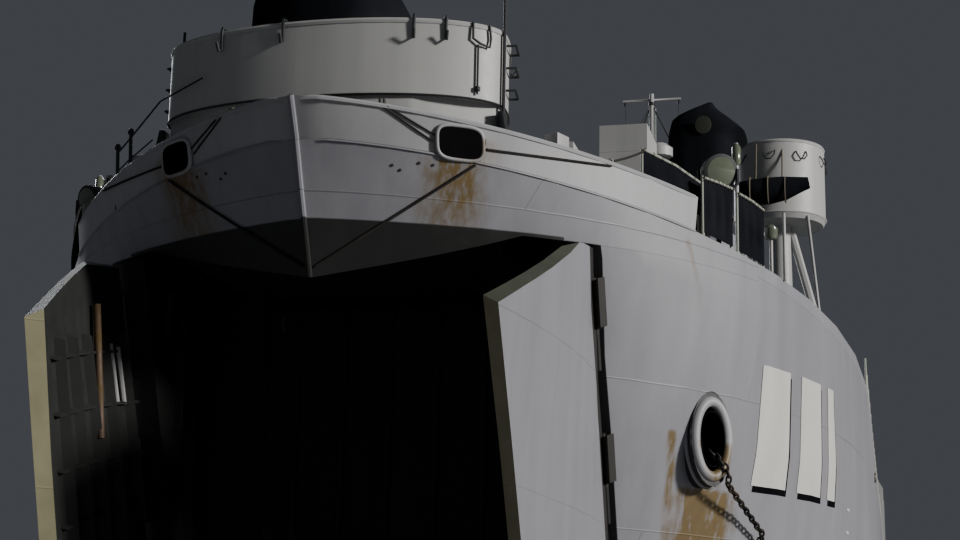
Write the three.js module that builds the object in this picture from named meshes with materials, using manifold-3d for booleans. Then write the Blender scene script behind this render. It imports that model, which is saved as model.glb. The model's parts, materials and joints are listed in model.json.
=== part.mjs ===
// Tank landing ship at one tenth scale, in millimetres: bow toward -Y, port toward +X, up +Z.
// The origin is on the flat of the keel, on the centreline, half way along the hull.
import * as THREE from 'three';
import { mergeVertices } from 'three/addons/utils/BufferGeometryUtils.js';
import Module from 'manifold-3d';

const wasm = await Module();
wasm.setup();

// Gaps between pieces, and the overlap that joins solids of one piece
const FIT = 0.3;
const DOOR_GAP = 6;
const LAP = 2;

// Reach of the cutters, which is past the hull on every side
const WIDE = 900;
const LONG = 5200;
const UNDER = -60;
const OVER = 1500;

// Hull size
const HALF_BEAM = 762;
const STERN_Y = 4998;
const STEM_KNUCKLE_Y = -4965.5;
const STEM_FOOT_Y = -4884.5;
const STEM_FOOT_Z = 790;
const DECK_Z = 767;
const SHEER_RISE = 207;
const SHEER_LENGTH = 2474;
const BOW_CURVE_LENGTH = 1592;
const DECK_PLATE = 22;
const TANK_DECK_Z = 350;

// Fullness of the deck line: powers of the bow curve and of the stern curve
const BOW_FULLNESS = { inner: 3.15, outer: 1 / 1.44 };
const STERN_FULLNESS = { inner: 2.6, outer: 1 / 1.8 };

// Rise of the bottom at the forefoot and under the stern
const FOREFOOT = { y: -3300, length: 1300, rise: 120 };
const RUN = { y: 3500, length: 1100, rise: 265, power: 1.4 };

// Bow recess, doors and ramp
const SILL_Z = 265;
const RECESS_HALF = 340;
const BULKHEAD_Y = -4440;
const BULKHEAD_THICK = 14;
const BEAK = { flatZ: 866, flatY: -4787, aheadY: -5100, aheadDrop: 130, edge: 165, edgeRise: 80,
  edgeLength: 160 };
const HINGE = { x: 379, y: -4717.5, z: 860, rake: 22 * Math.PI / 180, barrel: 5, lug: 26, lugFrom: 16,
  lugTo: 1, end: 6 };
const DOOR = { open: 57.5 * Math.PI / 180, thick: 20, inboard: 3, aftY: -4300, footZ: 330, sweepSteps: 10 };
const RAMP = { half: 213, length: 480, thick: 14, hingeZ: 357, setBack: 12, barrel: 6, foot: 4 };
const RAMP_RIB = { half: 4, proud: 8, low: 20, high: 10, xs: [-160, -80, 0, 80, 160] };
const RAMP_CHEEK = { gap: 0.4, thick: 12.6, ahead: 22, aft: 10, z0: 300, z1: 366 };
const PORTAL = { half: 205, top: 775 };
const HINGE_PARTS = [
  { z0: 300, z1: 380, owner: 'door' },
  { z0: 520, z1: 600, owner: 'door' },
  { z0: 740, z1: 820, owner: 'door' },
  { z0: 380.4, z1: 430, owner: 'hull' },
  { z0: 470, z1: 519.6, owner: 'hull' },
  { z0: 690, z1: 739.6, owner: 'hull' },
];

// Tank deck space
const TANK = { half: 457, neckHalf: 330, neckY: -4150, aftY: 2560 };

// Shafts, skegs and rudders
const SHAFT = { x: 230, z: 112, y0: 3700, y1: 4484, radius: 14 };
const SKEG = { half: 13, outline: [[3600, 4], [4380, 4], [4430, 60], [4430, 300], [3600, 300]] };
const RUDDER = { y: 4600, fore: 34, aft: 92, half: 9, tail: 3, z0: 22, z1: 222, stock: 9, stockFoot: 200 };
const RUDDER_BEARING = { radius: 16, z0: 240, z1: 330 };
const PROPELLER = { length: 44, hub: 16, tip: 8, blades: 3, twist: 0.6, half: 3 };
const BLADE_OUTLINE = [[-7, 0], [-34, 60], [-20, 98], [20, 98], [34, 60], [7, 0]];

// Hawse pipe, bow anchor and its chain
const HAWSE = { x: 522, y: -4489, z: 605, turn: -44 * Math.PI / 180, tall: 1.8, inner: 30, outer: 41 };
const HAWSE_REACH = { inner: -34, outer: 14, cutter: 60 };
const ANCHOR = { x: 592, y: -4356, top: 458, turn: -36 * Math.PI / 180 };
const ANCHOR_PARTS = [
  { part: 'shank', x0: -7, x1: 7, y0: -7, y1: 7, z0: -128, z1: 0 },
  { part: 'crown', x0: -12, x1: 12, y0: -34, y1: 34, z0: -144, z1: -120 },
  { part: 'fore fluke', x0: -6, x1: 6, y0: -52, y1: -30, z0: -142, z1: -66 },
  { part: 'aft fluke', x0: -6, x1: 6, y0: 30, y1: 52, z0: -142, z1: -66 },
  { part: 'hull lug', x0: -34, x1: 4, y0: -5, y1: 5, z0: -14, z1: -4 },
];
const CHAIN = { radius: 4, start: [-26, 20], turn: [36, 46], slack: [14, -22, 8], shackle: [3.4, -2.6,
  4.4] };

// Bow bulwark with its chocks
const BULWARK = { height: 54, thick: 12, aftY: -4584.5, lean: 33, inset: 2, flare: 1.01, taper: 400 };
const CHOCK = { x: 218, y: -4872, rise: 26, half: 30, tall: 0.7, depth: 160 };

// Bow tub: an oval with a flatter front, on a drum that follows the bulwark
const BOW_TUB = { y: -4810, half: 265, fore: 108, aft: 250, floor: 1055, rim: 1167, wall: 8, segments: 44 };
const BOW_DRUM = { inset: 5, footZ: 860, fromBulwark: 22, aftHalf: 560, aftY: -4400 };
const BOW_COVER = { x: -40, y: -4715, top: 1330, radius: 130, peak: 90 };

// Covered mounts on the forecastle sides
const FORE_MOUNT = { x: 505, y: -4184, pedestal: 1010, top: 1255, radius: 40 };
const TENT_PLAN = [[-62, -72], [0, -78], [62, -72], [74, 0], [62, 72], [0, 78], [-62, 72], [-74, 0]];
const TENT_LEVELS = [
  { up: 0, wide: 1, long: 1 },
  { up: 0.3, wide: 1, long: 1 },
  { up: 0.82, wide: 0.9, long: 0.92 },
  { up: 1, wide: 0.16, long: 0.42 },
];

// Side tubs on posts at the deck edge
const SIDE_TUB = { x: 603, y: -3834.5, floor: 1119, rim: 1266, radius: 89, wall: 6, segments: 28 };
const SIDE_DISH = { z0: 1112, z1: 1123, foot: 84, head: 91 };
const SIDE_TUB_LEGS = [
  { leg: 'post', topX: 603, aft: 0, footX: 603, footAft: 0, footZ: 790, radius: 22, segments: 16 },
  { leg: 'outer strut', topX: 622, aft: 0, footX: 700, footAft: 0, footZ: 800, radius: 8, segments: 8 },
  { leg: 'inner strut', topX: 560, aft: 30, footX: 500, footAft: 90, footZ: 800, radius: 6, segments: 8 },
];
const SIDE_LEG_TOP_Z = 1114;

// Lockers, houses and tall vents on the forecastle
const FORE_BOXES = [
  { name: 'fore_locker_port', x0: 250, x1: 310, y0: -4500, y1: -4430, z0: 850, z1: 1099 },
  { name: 'fore_house_port', x0: 340, x1: 421, y0: -4420, y1: -4300, z0: 820, z1: 1150 },
  { name: 'fore_house_starboard', x0: -421, x1: -340, y0: -4420, y1: -4300, z0: 820, z1: 1150 },
];
const FORE_VENT = { x: 418, y: -4250, footZ: 800, top: 1165, stem: 11, head: 26, deep: 24, crown: 8,
  crownTo: 0.6 };

// Mushroom vents and bitts along the main deck
const SUNK = 6;
const DECK_VENT = { x: 335, stem: 10, head: 22, height: 62, brim: 16, crown: 6, crownTo: 12 };
const DECK_VENT_YS = [-3300, -2800, -2300, -900, -400, 100, 600, 1100, 1600];
const BITT = { x: 672, spread: 22, radius: 9, height: 46, baseHalf: 16, baseLength: 40, baseThick: 7 };
const BITT_YS = [-3250, -2100, -700, 700, 1850];

// Windlass
const WINDLASS = { y: -4230, axleZ: 960, axle: 9, axleHalf: 130, drum: 24, drumFrom: 78, drumTo: 118 };
const WINDLASS_BASE = { half: 60, long: 50, z0: 800, z1: 925 };
const WINDLASS_HEAD = { half: 26, long: 34, z0: 920, z1: 985 };

// Cargo hatch, mast and boom
const HATCH = { x: 150, y0: -1900, y1: -1350, rim: 14, height: 50, footZ: 700 };
const LEAF = { fromCentre: 1.5, overhang: 10, thick: 9, hingeOut: 18, hingeUp: 6, barrel: 5, barrelEnd: 20 };
const CARGO_MAST = { y: -1290, top: 2300, foot: 17, head: 8, crossZ: 2277, crossHalf: 105, cross: 5 };
const MAST_STEP = { radius: 34, height: 14 };
const GOOSENECK = { inner: 8, outer: 14, ahead: 40, aft: 8, z0: 860, z1: 900 };
const BOOM = { ahead: 31, z: 880, length: 640, rise: 10 * Math.PI / 180, heel: 7, tip: 5, eye: 9,
  eyeHalf: 7.4 };

// Deckhouse, boat deck, bridge and pilot house: plans with both fore corners cut off
const HOUSES = [
  { name: 'deckhouse', half: 430, y0: 2100, y1: 3900, corner: 60, z0: DECK_Z + FIT, z1: 1010,
    paint: 'upper' },
  { name: 'boat_deck', half: 560, y0: 2050, y1: 3960, corner: 40, z0: 1010 + FIT, z1: 1020, paint: 'deck' },
  { name: 'bridge_house', half: 250, y0: 2150, y1: 2950, corner: 50, z0: 1020 + FIT, z1: 1240,
    paint: 'upper' },
  { name: 'pilot_house', half: 175, y0: 2230, y1: 2560, corner: 60, z0: 1240 + FIT, z1: 1440,
    paint: 'upper' },
];
const BOAT_DECK_Z = 1020;
const BRIDGE_TOP_Z = 1240;
const CONNING_TUB = { x: 0, y: 2390, floor: 1440 + FIT, rim: 1560, radius: 140, wall: 6, segments: 28 };

// Main mast with its yard and a turning aerial
const MAST = { y: 2740, top: 2900, foot: 20, head: 9, yardZ: 2480, yardHalf: 170, yard: 6 };
const MAST_LEG = { x: 60, aft: 90, footZ: 1242, topZ: 2000, radius: 8 };
const AERIAL = { stub: 8, stubHeight: 24, half: 55, thick: 4, z0: 22, z1: 44 };

// Tubs aft
const AFT_TUB = { x: 330, y: 3560, floor: BOAT_DECK_Z + FIT, rim: 1130, radius: 90, wall: 6, segments: 24 };
const STERN_TUB = { x: 0, y: 4520, floor: 930, rim: 1050, radius: 190, wall: 7, segments: 32 };
const STERN_DRUM = { radius: 90, footZ: 700, segments: 20 };
const STERN_COVER = { top: 1140, radius: 110, peak: 55 };

// Boats and the davits that carry them
const BOAT = { x: 585, wall: 8, chine: 0.35, mouth: 30 };
const BOAT_SECTIONS = [
  { y: 2190, gunwale: 95, bottom: 70, z0: 1110, z1: 1246 },
  { y: 2330, gunwale: 126, bottom: 90, z0: 1072, z1: 1240 },
  { y: 2560, gunwale: 138, bottom: 108, z0: 1048, z1: 1234 },
  { y: 2900, gunwale: 140, bottom: 115, z0: 1040, z1: 1230 },
  { y: 3280, gunwale: 130, bottom: 110, z0: 1050, z1: 1230 },
];
const THWART = { half: 132, long: 14, z0: 1148, z1: 1160 };
const DAVITS = [{ place: 'fore', y: 2420 }, { place: 'aft', y: 3120 }];
const DAVIT = { foot: 742, headZ: 1335, bendZ: 1260, half: 11, hanger: 4 };

// Stern anchor on its rack and the winch ahead of it
const STERN_ANCHOR_PARTS = [
  { part: 'shank', x0: -8, x1: 8, y0: 4990, y1: 5010, z0: 560, z1: 800 },
  { part: 'crown', x0: -60, x1: 60, y0: 4994, y1: 5014, z0: 552, z1: 580 },
  { part: 'starboard fluke', x0: -58, x1: -44, y0: 4996, y1: 5008, z0: 570, z1: 660 },
  { part: 'port fluke', x0: 44, x1: 58, y0: 4996, y1: 5008, z0: 570, z1: 660 },
];
const WINCH = { y: 4180, z: 822, axle: 8, drum: 26, drumHalf: 60, cheek: 42, cheekThick: 6 };
const WINCH_BED = { half: 95, long: 50, thick: 14 };
const WINCH_BEARING = { inner: 82, outer: 92, long: 22, above: 12 };

const PAINTS = {
  hull: { colour: 0x8d9399, roughness: 0.62, metalness: 0.1 },
  deck: { colour: 0x3c4348, roughness: 0.8, metalness: 0.1 },
  upper: { colour: 0x8a9096, roughness: 0.6, metalness: 0.1 },
  inside: { colour: 0x6f7670, roughness: 0.7, metalness: 0.1 },
  steel: { colour: 0x55585a, roughness: 0.5, metalness: 0.7 },
  bronze: { colour: 0x9c7a45, roughness: 0.35, metalness: 0.9 },
  canvas: { colour: 0x4d5148, roughness: 0.95, metalness: 0 },
  bottom: { colour: 0x5a2f2a, roughness: 0.7, metalness: 0.05 },
};
const SIDES = [{ name: 'port', side: 1 }, { name: 'starboard', side: -1 }];

const group = new THREE.Group();
group.name = 'tank_landing_ship';

// Closed solid from a mesh geometry
function solid(geometry) {
  const plain = new THREE.BufferGeometry();
  plain.setAttribute('position', geometry.getAttribute('position'));
  if (geometry.index) plain.setIndex(geometry.index);
  const merged = mergeVertices(plain, 0.0005);
  const mesh = new wasm.Mesh({
    numProp: 3,
    vertProperties: new Float32Array(merged.getAttribute('position').array),
    triVerts: new Uint32Array(merged.index.array),
  });
  return new wasm.Manifold(mesh);
}

function geometryOf(body) {
  const mesh = body.getMesh();
  const geometry = new THREE.BufferGeometry();
  geometry.setAttribute('position', new THREE.BufferAttribute(new Float32Array(mesh.vertProperties), 3));
  geometry.setIndex(new THREE.BufferAttribute(new Uint32Array(mesh.triVerts), 1));
  geometry.computeVertexNormals();
  return geometry;
}

function addNode(name, body, paint) {
  const { colour, roughness, metalness } = PAINTS[paint];
  const material = new THREE.MeshStandardMaterial({ color: colour, roughness, metalness });
  const mesh = new THREE.Mesh(geometryOf(body), material);
  mesh.name = name;
  group.add(mesh);
}

function boxGeometry({ x0, x1, y0, y1, z0, z1 }) {
  const geometry = new THREE.BoxGeometry(x1 - x0, y1 - y0, z1 - z0);
  geometry.translate((x0 + x1) / 2, (y0 + y1) / 2, (z0 + z1) / 2);
  return geometry;
}

function block(x0, x1, y0, y1, z0, z1) {
  return solid(boxGeometry({ x0, x1, y0, y1, z0, z1 }));
}

// Whole width and length of the hull between two heights, and whole width and height between two places
const slab = (z0, z1) => block(-WIDE, WIDE, -LONG, LONG, z0, z1);
const span = (y0, y1) => block(-WIDE, WIDE, y0, y1, UNDER, OVER);

// Outline of [a, b] points pushed along an axis: 'z' takes [x, y], 'x' takes [y, z]
function prism(points, from, to, axis = 'z') {
  const shape = new THREE.Shape(points.map(([a, b]) => new THREE.Vector2(a, b)));
  const geometry = new THREE.ExtrudeGeometry(shape, { depth: to - from, bevelEnabled: false, steps: 1 });
  geometry.translate(0, 0, from);
  if (axis === 'x') {
    geometry.applyMatrix4(new THREE.Matrix4().set(0, 0, 1, 0, 1, 0, 0, 0, 0, 1, 0, 0, 0, 0, 0, 1));
  }
  return solid(geometry);
}

// Round bar between two points, tapering from r0 to r1
function bar(p0, p1, r0, segments = 8, r1 = r0) {
  const a = new THREE.Vector3(...p0);
  const b = new THREE.Vector3(...p1);
  const along = b.clone().sub(a);
  const geometry = new THREE.CylinderGeometry(r1, r0, along.length(), segments);
  const turn = new THREE.Quaternion().setFromUnitVectors(new THREE.Vector3(0, 1, 0),
    along.clone().normalize());
  geometry.applyQuaternion(turn);
  geometry.translate((a.x + b.x) / 2, (a.y + b.y) / 2, (a.z + b.z) / 2);
  return solid(geometry);
}

const upright = (x, y, z0, z1, r0, segments, r1) => bar([x, y, z0], [x, y, z1], r0, segments, r1);

function join(...bodies) {
  return bodies.reduce((sum, body) => sum.add(body));
}

function mirrored(body) {
  return body.mirror([1, 0, 0]);
}

// Two distances from the centreline, in rising order, on the side given
function aside(side, near, far) {
  return side > 0 ? [near, far] : [-far, -near];
}

// Triangles in the order that faces them outward
function turnedOut(positions, index) {
  let volume = 0;
  const at = (i) => new THREE.Vector3(positions[3 * i], positions[3 * i + 1], positions[3 * i + 2]);
  for (let i = 0; i < index.length; i += 3) {
    volume += at(index[i]).dot(at(index[i + 1]).cross(at(index[i + 2])));
  }
  return volume < 0 ? index.slice().reverse() : index;
}

// Solid from closed rings of points, each ring with the same count, capped at both ends
function loft(rings, capTriangles) {
  const count = rings[0].length;
  const positions = rings.flat(2);
  const index = [];
  for (let r = 0; r + 1 < rings.length; r += 1) {
    for (let i = 0; i < count; i += 1) {
      const j = (i + 1) % count;
      const a = r * count + i;
      const b = r * count + j;
      const c = (r + 1) * count + j;
      const d = (r + 1) * count + i;
      index.push(a, b, c, a, c, d);
    }
  }
  const top = (rings.length - 1) * count;
  capTriangles.forEach(([a, b, c]) => {
    index.push(c, b, a);
    index.push(top + a, top + b, top + c);
  });
  const geometry = new THREE.BufferGeometry();
  geometry.setAttribute('position', new THREE.BufferAttribute(new Float32Array(positions), 3));
  geometry.setIndex(turnedOut(positions, index));
  return solid(geometry);
}

// Cap of a ring of points as a fan from its first point
const fan = (count) => Array.from({ length: count - 2 }, (_, i) => [0, i + 1, i + 2]);

// Hull form
function sheerZ(y) {
  const f = Math.min(1, Math.max(0, 1 - (y - STEM_KNUCKLE_Y) / SHEER_LENGTH));
  return DECK_Z + SHEER_RISE * f * f;
}

function knuckleHalf(y) {
  const t = Math.min(1, Math.max(0, (y - STEM_KNUCKLE_Y) / BOW_CURVE_LENGTH));
  return HALF_BEAM * (1 - (1 - t) ** BOW_FULLNESS.inner) ** BOW_FULLNESS.outer;
}

function sternHalf(y, start, end) {
  const t = Math.min(1, Math.max(0, (y - start) / (end - start)));
  return (1 - t ** STERN_FULLNESS.inner) ** STERN_FULLNESS.outer;
}

function forefootZ(y) {
  const t = Math.max(0, (FOREFOOT.y - y) / FOREFOOT.length);
  return FOREFOOT.rise * t * t;
}

function runZ(y) {
  const t = Math.max(0, (y - RUN.y) / RUN.length);
  return RUN.rise * t ** RUN.power;
}

// Drop from the sheer to the lower edge of the beak
function beakDrop(y) {
  const t = Math.min(1, Math.max(0, (y - STEM_FOOT_Y) / BEAK.edgeLength));
  return BEAK.edge - BEAK.edgeRise * t;
}

// Places along the hull as shares of its length, close together where it curves
const STATIONS = [
  0, 0.0008, 0.002, 0.0038, 0.006, 0.009, 0.0128, 0.0175, 0.023, 0.03, 0.038, 0.047, 0.058, 0.071, 0.086,
  0.104, 0.13, 0.165, 0.2, 0.25, 0.35, 0.55, 0.75, 0.84, 0.88, 0.905, 0.925, 0.942, 0.957, 0.969, 0.979,
    0.987,
  0.993, 0.997, 0.9992, 1,
];

// Levels: stem and stern ends, fineness at the bow, side allowance, start of the stern curve, height
const LEVELS = [
  { stem: -4590, stern: 4700, fine: 420, inset: 110, curve: 3300, height: (y) => forefootZ(y) + runZ(y) },
  { stem: -4640, stern: 4760, fine: 330, inset: 32, curve: 3500,
    height: (y) => 36 + forefootZ(y) * 1.05 + runZ(y) },
  { stem: -4665, stern: 4800, fine: 290, inset: 0, curve: 3600,
    height: (y) => 115 + forefootZ(y) * 0.7 + runZ(y) * 0.9 },
  { stem: -4693.5, stern: 4900, fine: 205, inset: 0, curve: 3800, height: (y) => SILL_Z + runZ(y) * 0.62 },
  { stem: -4815, stern: 4960, fine: 140, inset: 0, curve: 4000, height: (y) => 600 + runZ(y) * 0.1 },
  { stem: STEM_FOOT_Y, stern: 4980, fine: 67, inset: 0, curve: 4050,
    height: (y) => sheerZ(y) - beakDrop(y) },
  { stem: STEM_KNUCKLE_Y, stern: STERN_Y, fine: 0, inset: 0, curve: 4100, height: sheerZ },
];
const LEAST_HALF = 2;

function levelRing(level) {
  const port = STATIONS.map((u) => {
    const y = level.stem + (level.stern - level.stem) * u;
    const onCentre = u === 0 || u === 1;
    const fineness = level.fine ? 1 - Math.exp(-(y - level.stem) / level.fine) : 1;
    const half = (knuckleHalf(y) * sternHalf(y, level.curve, level.stern) - level.inset) * fineness;
    return [onCentre ? 0 : Math.max(LEAST_HALF, half), y, level.height(y)];
  });
  const starboard = port.slice(1, -1).reverse().map(([x, y, z]) => [-x, y, z]);
  return [...port, ...starboard];
}

// Cap of a level ring in strips across the hull
function ringCap(count) {
  const triangles = [];
  const last = count / 2;
  for (let i = 0; i < last; i += 1) {
    const a = i;
    const b = i + 1;
    const c = (count - i - 1) % count;
    const d = (count - i) % count;
    if (i === 0) triangles.push([a, b, c]);
    else if (i === last - 1) triangles.push([a, b, d]);
    else triangles.push([a, b, c], [a, c, d]);
  }
  return triangles;
}

function hullInside(inset) {
  const levels = LEVELS.map((level) => ({ ...level, stem: level.stem + inset * 1.25,
    inset: level.inset + inset }));
  const rings = levels.map(levelRing);
  return loft(rings, ringCap(rings[0].length));
}
const hullForm = hullInside(0);

// Deck height along straight runs between the hull stations
const deckYs = STATIONS.map((u) => STEM_KNUCKLE_Y + (STERN_Y - STEM_KNUCKLE_Y) * u);
function deckAt(y) {
  const i = Math.max(1, deckYs.findIndex((edge) => edge >= y));
  const t = Math.max(0, (y - deckYs[i - 1]) / (deckYs[i] - deckYs[i - 1]));
  return sheerZ(deckYs[i - 1]) + (sheerZ(deckYs[i]) - sheerZ(deckYs[i - 1])) * t;
}

// Everything below the sheer line moved down by a drop
function underSheer(drop) {
  const points = [-LONG, ...deckYs, LONG].map((y) => [y, sheerZ(y) - drop]);
  return prism([[-LONG, UNDER], [LONG, UNDER], ...points.reverse()], -WIDE, WIDE, 'x');
}

// Everything above the underside of the beak
function aboveBeak(gap) {
  return prism([
    [BEAK.aheadY, STEM_FOOT_Z - BEAK.aheadDrop + gap], [STEM_FOOT_Y, STEM_FOOT_Z + gap],
    [BEAK.flatY, BEAK.flatZ + gap], [BULKHEAD_Y - gap, BEAK.flatZ + gap], [BULKHEAD_Y - gap, OVER],
    [BEAK.aheadY, OVER],
  ], -WIDE, WIDE, 'x');
}

// Point on the raked hinge line of the port door
function hingePoint(z) {
  return [HINGE.x, HINGE.y + (HINGE.z - z) * Math.tan(HINGE.rake), z];
}

// Everything ahead of a raked plane through the door hinges, moved aft by a shift
function aheadOfHinge(shift) {
  const low = hingePoint(UNDER)[1] + shift;
  const high = hingePoint(OVER)[1] + shift;
  return prism([[-LONG, UNDER], [low, UNDER], [high, OVER], [-LONG, OVER]], -WIDE, WIDE, 'x');
}

// Spaces cut out of the hull
const belowDeckPlate = underSheer(DECK_PLATE + FIT);
const tankSpace = prism([
  [-TANK.neckHalf, BULKHEAD_Y - LAP], [TANK.neckHalf, BULKHEAD_Y - LAP], [TANK.half, TANK.neckY],
  [TANK.half, TANK.aftY], [-TANK.half, TANK.aftY], [-TANK.half, TANK.neckY],
], TANK_DECK_Z, OVER);
const recess = block(-RECESS_HALF, RECESS_HALF, -LONG, BULKHEAD_Y, SILL_Z, OVER);
const doorZone = aheadOfHinge(DOOR_GAP + 1).intersect(block(-WIDE, WIDE, -LONG, DOOR.aftY, SILL_Z, OVER));

// Hinge barrels down the raked line, each on a lug to its own piece: aft for the hull, forward for the door
function hingeBarrel({ z0, z1 }, way) {
  const [, yLow, low] = hingePoint(z0 + HINGE.end);
  const [, yHigh, high] = hingePoint(z1 - HINGE.end);
  const lug = prism([
    [yLow + way * HINGE.lug, low], [yLow, low], [yHigh, high], [yHigh + way * HINGE.lug, high],
  ], HINGE.x - HINGE.lugFrom, HINGE.x - HINGE.lugTo, 'x');
  return bar(hingePoint(z0), hingePoint(z1), HINGE.barrel, 12).add(lug);
}

function hingeBarrels(owner, way) {
  return join(...HINGE_PARTS.filter((part) => part.owner === owner).map((part) => hingeBarrel(part, way)));
}

// Bow doors, drawn closed and then swung open about the raked hinge line
const hingeAxis = new THREE.Vector3(0, -Math.sin(HINGE.rake), Math.cos(HINGE.rake));
function doorTurned(body, angle, drop = 0) {
  const matrix = new THREE.Matrix4().makeTranslation(HINGE.x, HINGE.y, HINGE.z - drop)
    .multiply(new THREE.Matrix4().makeRotationAxis(hingeAxis, angle))
    .multiply(new THREE.Matrix4().makeTranslation(-HINGE.x, -HINGE.y, -HINGE.z));
  return solid(geometryOf(body).applyMatrix4(matrix));
}

const doorShell = hullForm.subtract(hullInside(DOOR.thick))
  .intersect(aheadOfHinge(-DOOR_GAP))
  .intersect(block(DOOR.inboard, WIDE, -LONG, DOOR.aftY, SILL_Z + DOOR_GAP + 1, OVER))
  .subtract(aboveBeak(-DOOR_GAP));
const openDoor = doorTurned(doorShell.add(hingeBarrels('door', -1)), DOOR.open);
addNode('bow_door_port', openDoor, 'hull');
addNode('bow_door_starboard', mirrored(openDoor), 'hull');

// Way that the foot of a door sweeps over the sill, with clearance under it
const doorFoot = doorShell.intersect(block(0, WIDE, -LONG, DOOR.aftY, 0, DOOR.footZ));
const sweepAngles = Array.from({ length: DOOR.sweepSteps + 1 }, (_, i) => DOOR.open * i / DOOR.sweepSteps);
const doorSweep = join(...sweepAngles.map((angle) => doorTurned(doorFoot, angle, DOOR_GAP)));

// Lower hull with the double bottom, the tank deck, the skegs and the cheeks of the ramp hinge
const bottomPlating = hullForm.intersect(slab(UNDER, TANK_DECK_Z)).subtract(recess).subtract(doorZone)
  .subtract(doorSweep).subtract(mirrored(doorSweep));
const sternGear = SIDES.map(({ side }) => {
  const x = side * SHAFT.x;
  const skeg = prism(SKEG.outline, x - SKEG.half, x + SKEG.half, 'x');
  const shaft = bar([x, SHAFT.y0, SHAFT.z], [x, SHAFT.y1, SHAFT.z], SHAFT.radius, 12);
  const bearing = upright(x, RUDDER.y, RUDDER_BEARING.z0, RUDDER_BEARING.z1, RUDDER_BEARING.radius, 12);
  return join(skeg, shaft, bearing);
});
const rampCheeks = SIDES.map(({ side }) => {
  const near = RAMP.half + RAMP_CHEEK.gap;
  const [x0, x1] = aside(side, near, near + RAMP_CHEEK.thick);
  const cheek = block(x0, x1, BULKHEAD_Y - RAMP_CHEEK.ahead, BULKHEAD_Y - RAMP_CHEEK.gap, RAMP_CHEEK.z0,
    RAMP_CHEEK.z1);
  return cheek.add(block(x0, x1, BULKHEAD_Y - 1, BULKHEAD_Y + RAMP_CHEEK.aft, RAMP_CHEEK.z0,
    TANK_DECK_Z - 1));
});
addNode('hull_bottom', join(bottomPlating, ...sternGear, ...rampCheeks), 'bottom');

// Hawse pipe through the port bow: an upright oval, square to the side plating
function hawsePipe(radius, from, to) {
  const geometry = new THREE.CylinderGeometry(radius, radius, to - from, 24);
  geometry.rotateZ(-Math.PI / 2);
  geometry.translate((from + to) / 2, 0, 0);
  geometry.scale(1, 1, HAWSE.tall);
  geometry.rotateZ(HAWSE.turn);
  geometry.translate(HAWSE.x, HAWSE.y, HAWSE.z);
  return solid(geometry);
}
const hawseTube = hawsePipe(HAWSE.outer, HAWSE_REACH.inner, HAWSE_REACH.outer);
const hawseBore = hawsePipe(HAWSE.inner, -HAWSE_REACH.cutter, HAWSE_REACH.cutter);
addNode('hawse_port', hawseTube.subtract(hawseBore), 'steel');

// Wing compartments along both sides
const wings = hullForm.intersect(slab(TANK_DECK_Z + FIT, OVER)).intersect(span(-LONG, TANK.aftY))
  .intersect(belowDeckPlate).subtract(tankSpace).subtract(recess).subtract(doorZone).subtract(aboveBeak(0))
  .subtract(hawsePipe(HAWSE.outer + FIT, HAWSE_REACH.inner - FIT, HAWSE_REACH.cutter));
const hullBarrels = hingeBarrels('hull', 1);
const portWing = wings.intersect(block(FIT / 2, WIDE, -LONG, LONG, UNDER, OVER)).add(hullBarrels);
const starboardWing = wings.intersect(block(-WIDE, -FIT / 2, -LONG, LONG, UNDER,
  OVER)).add(mirrored(hullBarrels));
addNode('hull_side_port', portWing, 'hull');
addNode('hull_side_starboard', starboardWing, 'hull');

// Engine and crew spaces aft, and the beak over the bow doors
const sternPart = hullForm.intersect(slab(TANK_DECK_Z + FIT, OVER)).intersect(belowDeckPlate)
  .intersect(span(TANK.aftY + FIT, LONG));
addNode('hull_stern', sternPart, 'hull');
addNode('bow_beak', hullForm.intersect(aboveBeak(FIT)), 'hull');

// Bulkhead with the ramp opening
const portal = block(-PORTAL.half, PORTAL.half, BULKHEAD_Y - 60, BULKHEAD_Y + 40, 0, PORTAL.top);
const bulkhead = block(-TANK.neckHalf + FIT, TANK.neckHalf - FIT, BULKHEAD_Y, BULKHEAD_Y + BULKHEAD_THICK,
  TANK_DECK_Z + FIT, OVER).intersect(belowDeckPlate).subtract(portal);
addNode('ramp_bulkhead', bulkhead, 'inside');

// Bow ramp, raised
const rampAftY = BULKHEAD_Y - RAMP.setBack;
const rampFaceY = rampAftY - RAMP.thick;
const rampTopZ = RAMP.hingeZ + RAMP.length;
const rampPlate = block(-RAMP.half, RAMP.half, rampFaceY, rampAftY, RAMP.hingeZ + RAMP.foot, rampTopZ);
const rampBarrel = bar([-RAMP.half, rampAftY, RAMP.hingeZ], [RAMP.half, rampAftY, RAMP.hingeZ],
  RAMP.barrel, 12);
const rampRibs = RAMP_RIB.xs.map((x) => block(x - RAMP_RIB.half, x + RAMP_RIB.half,
  rampFaceY - RAMP_RIB.proud,
  rampFaceY + 1, RAMP.hingeZ + RAMP_RIB.low, rampTopZ - RAMP_RIB.high));
addNode('bow_ramp', join(rampPlate, rampBarrel, ...rampRibs), 'inside');

// What stands on the deck is trimmed to the sheer
const deckCutter = underSheer(-FIT);
function onDeck(body) {
  return body.subtract(deckCutter);
}

// Main deck plate with the cargo hatch cut through, and what is welded to it
const deckPart = hullForm.subtract(underSheer(DECK_PLATE)).intersect(span(BULKHEAD_Y + FIT, LONG))
  .subtract(block(-HATCH.x, HATCH.x, HATCH.y0, HATCH.y1, 0, OVER));

function mushroomVent(x, y) {
  const top = deckAt(y) + DECK_VENT.height;
  const stem = upright(x, y, deckAt(y) - SUNK, top - DECK_VENT.crown - LAP, DECK_VENT.stem, 8);
  const brim = upright(x, y, top - DECK_VENT.brim, top - DECK_VENT.crown, DECK_VENT.head, 10);
  const crown = upright(x, y, top - DECK_VENT.crown - 0.5, top, DECK_VENT.head, 10, DECK_VENT.crownTo);
  return join(stem, brim, crown);
}

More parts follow.
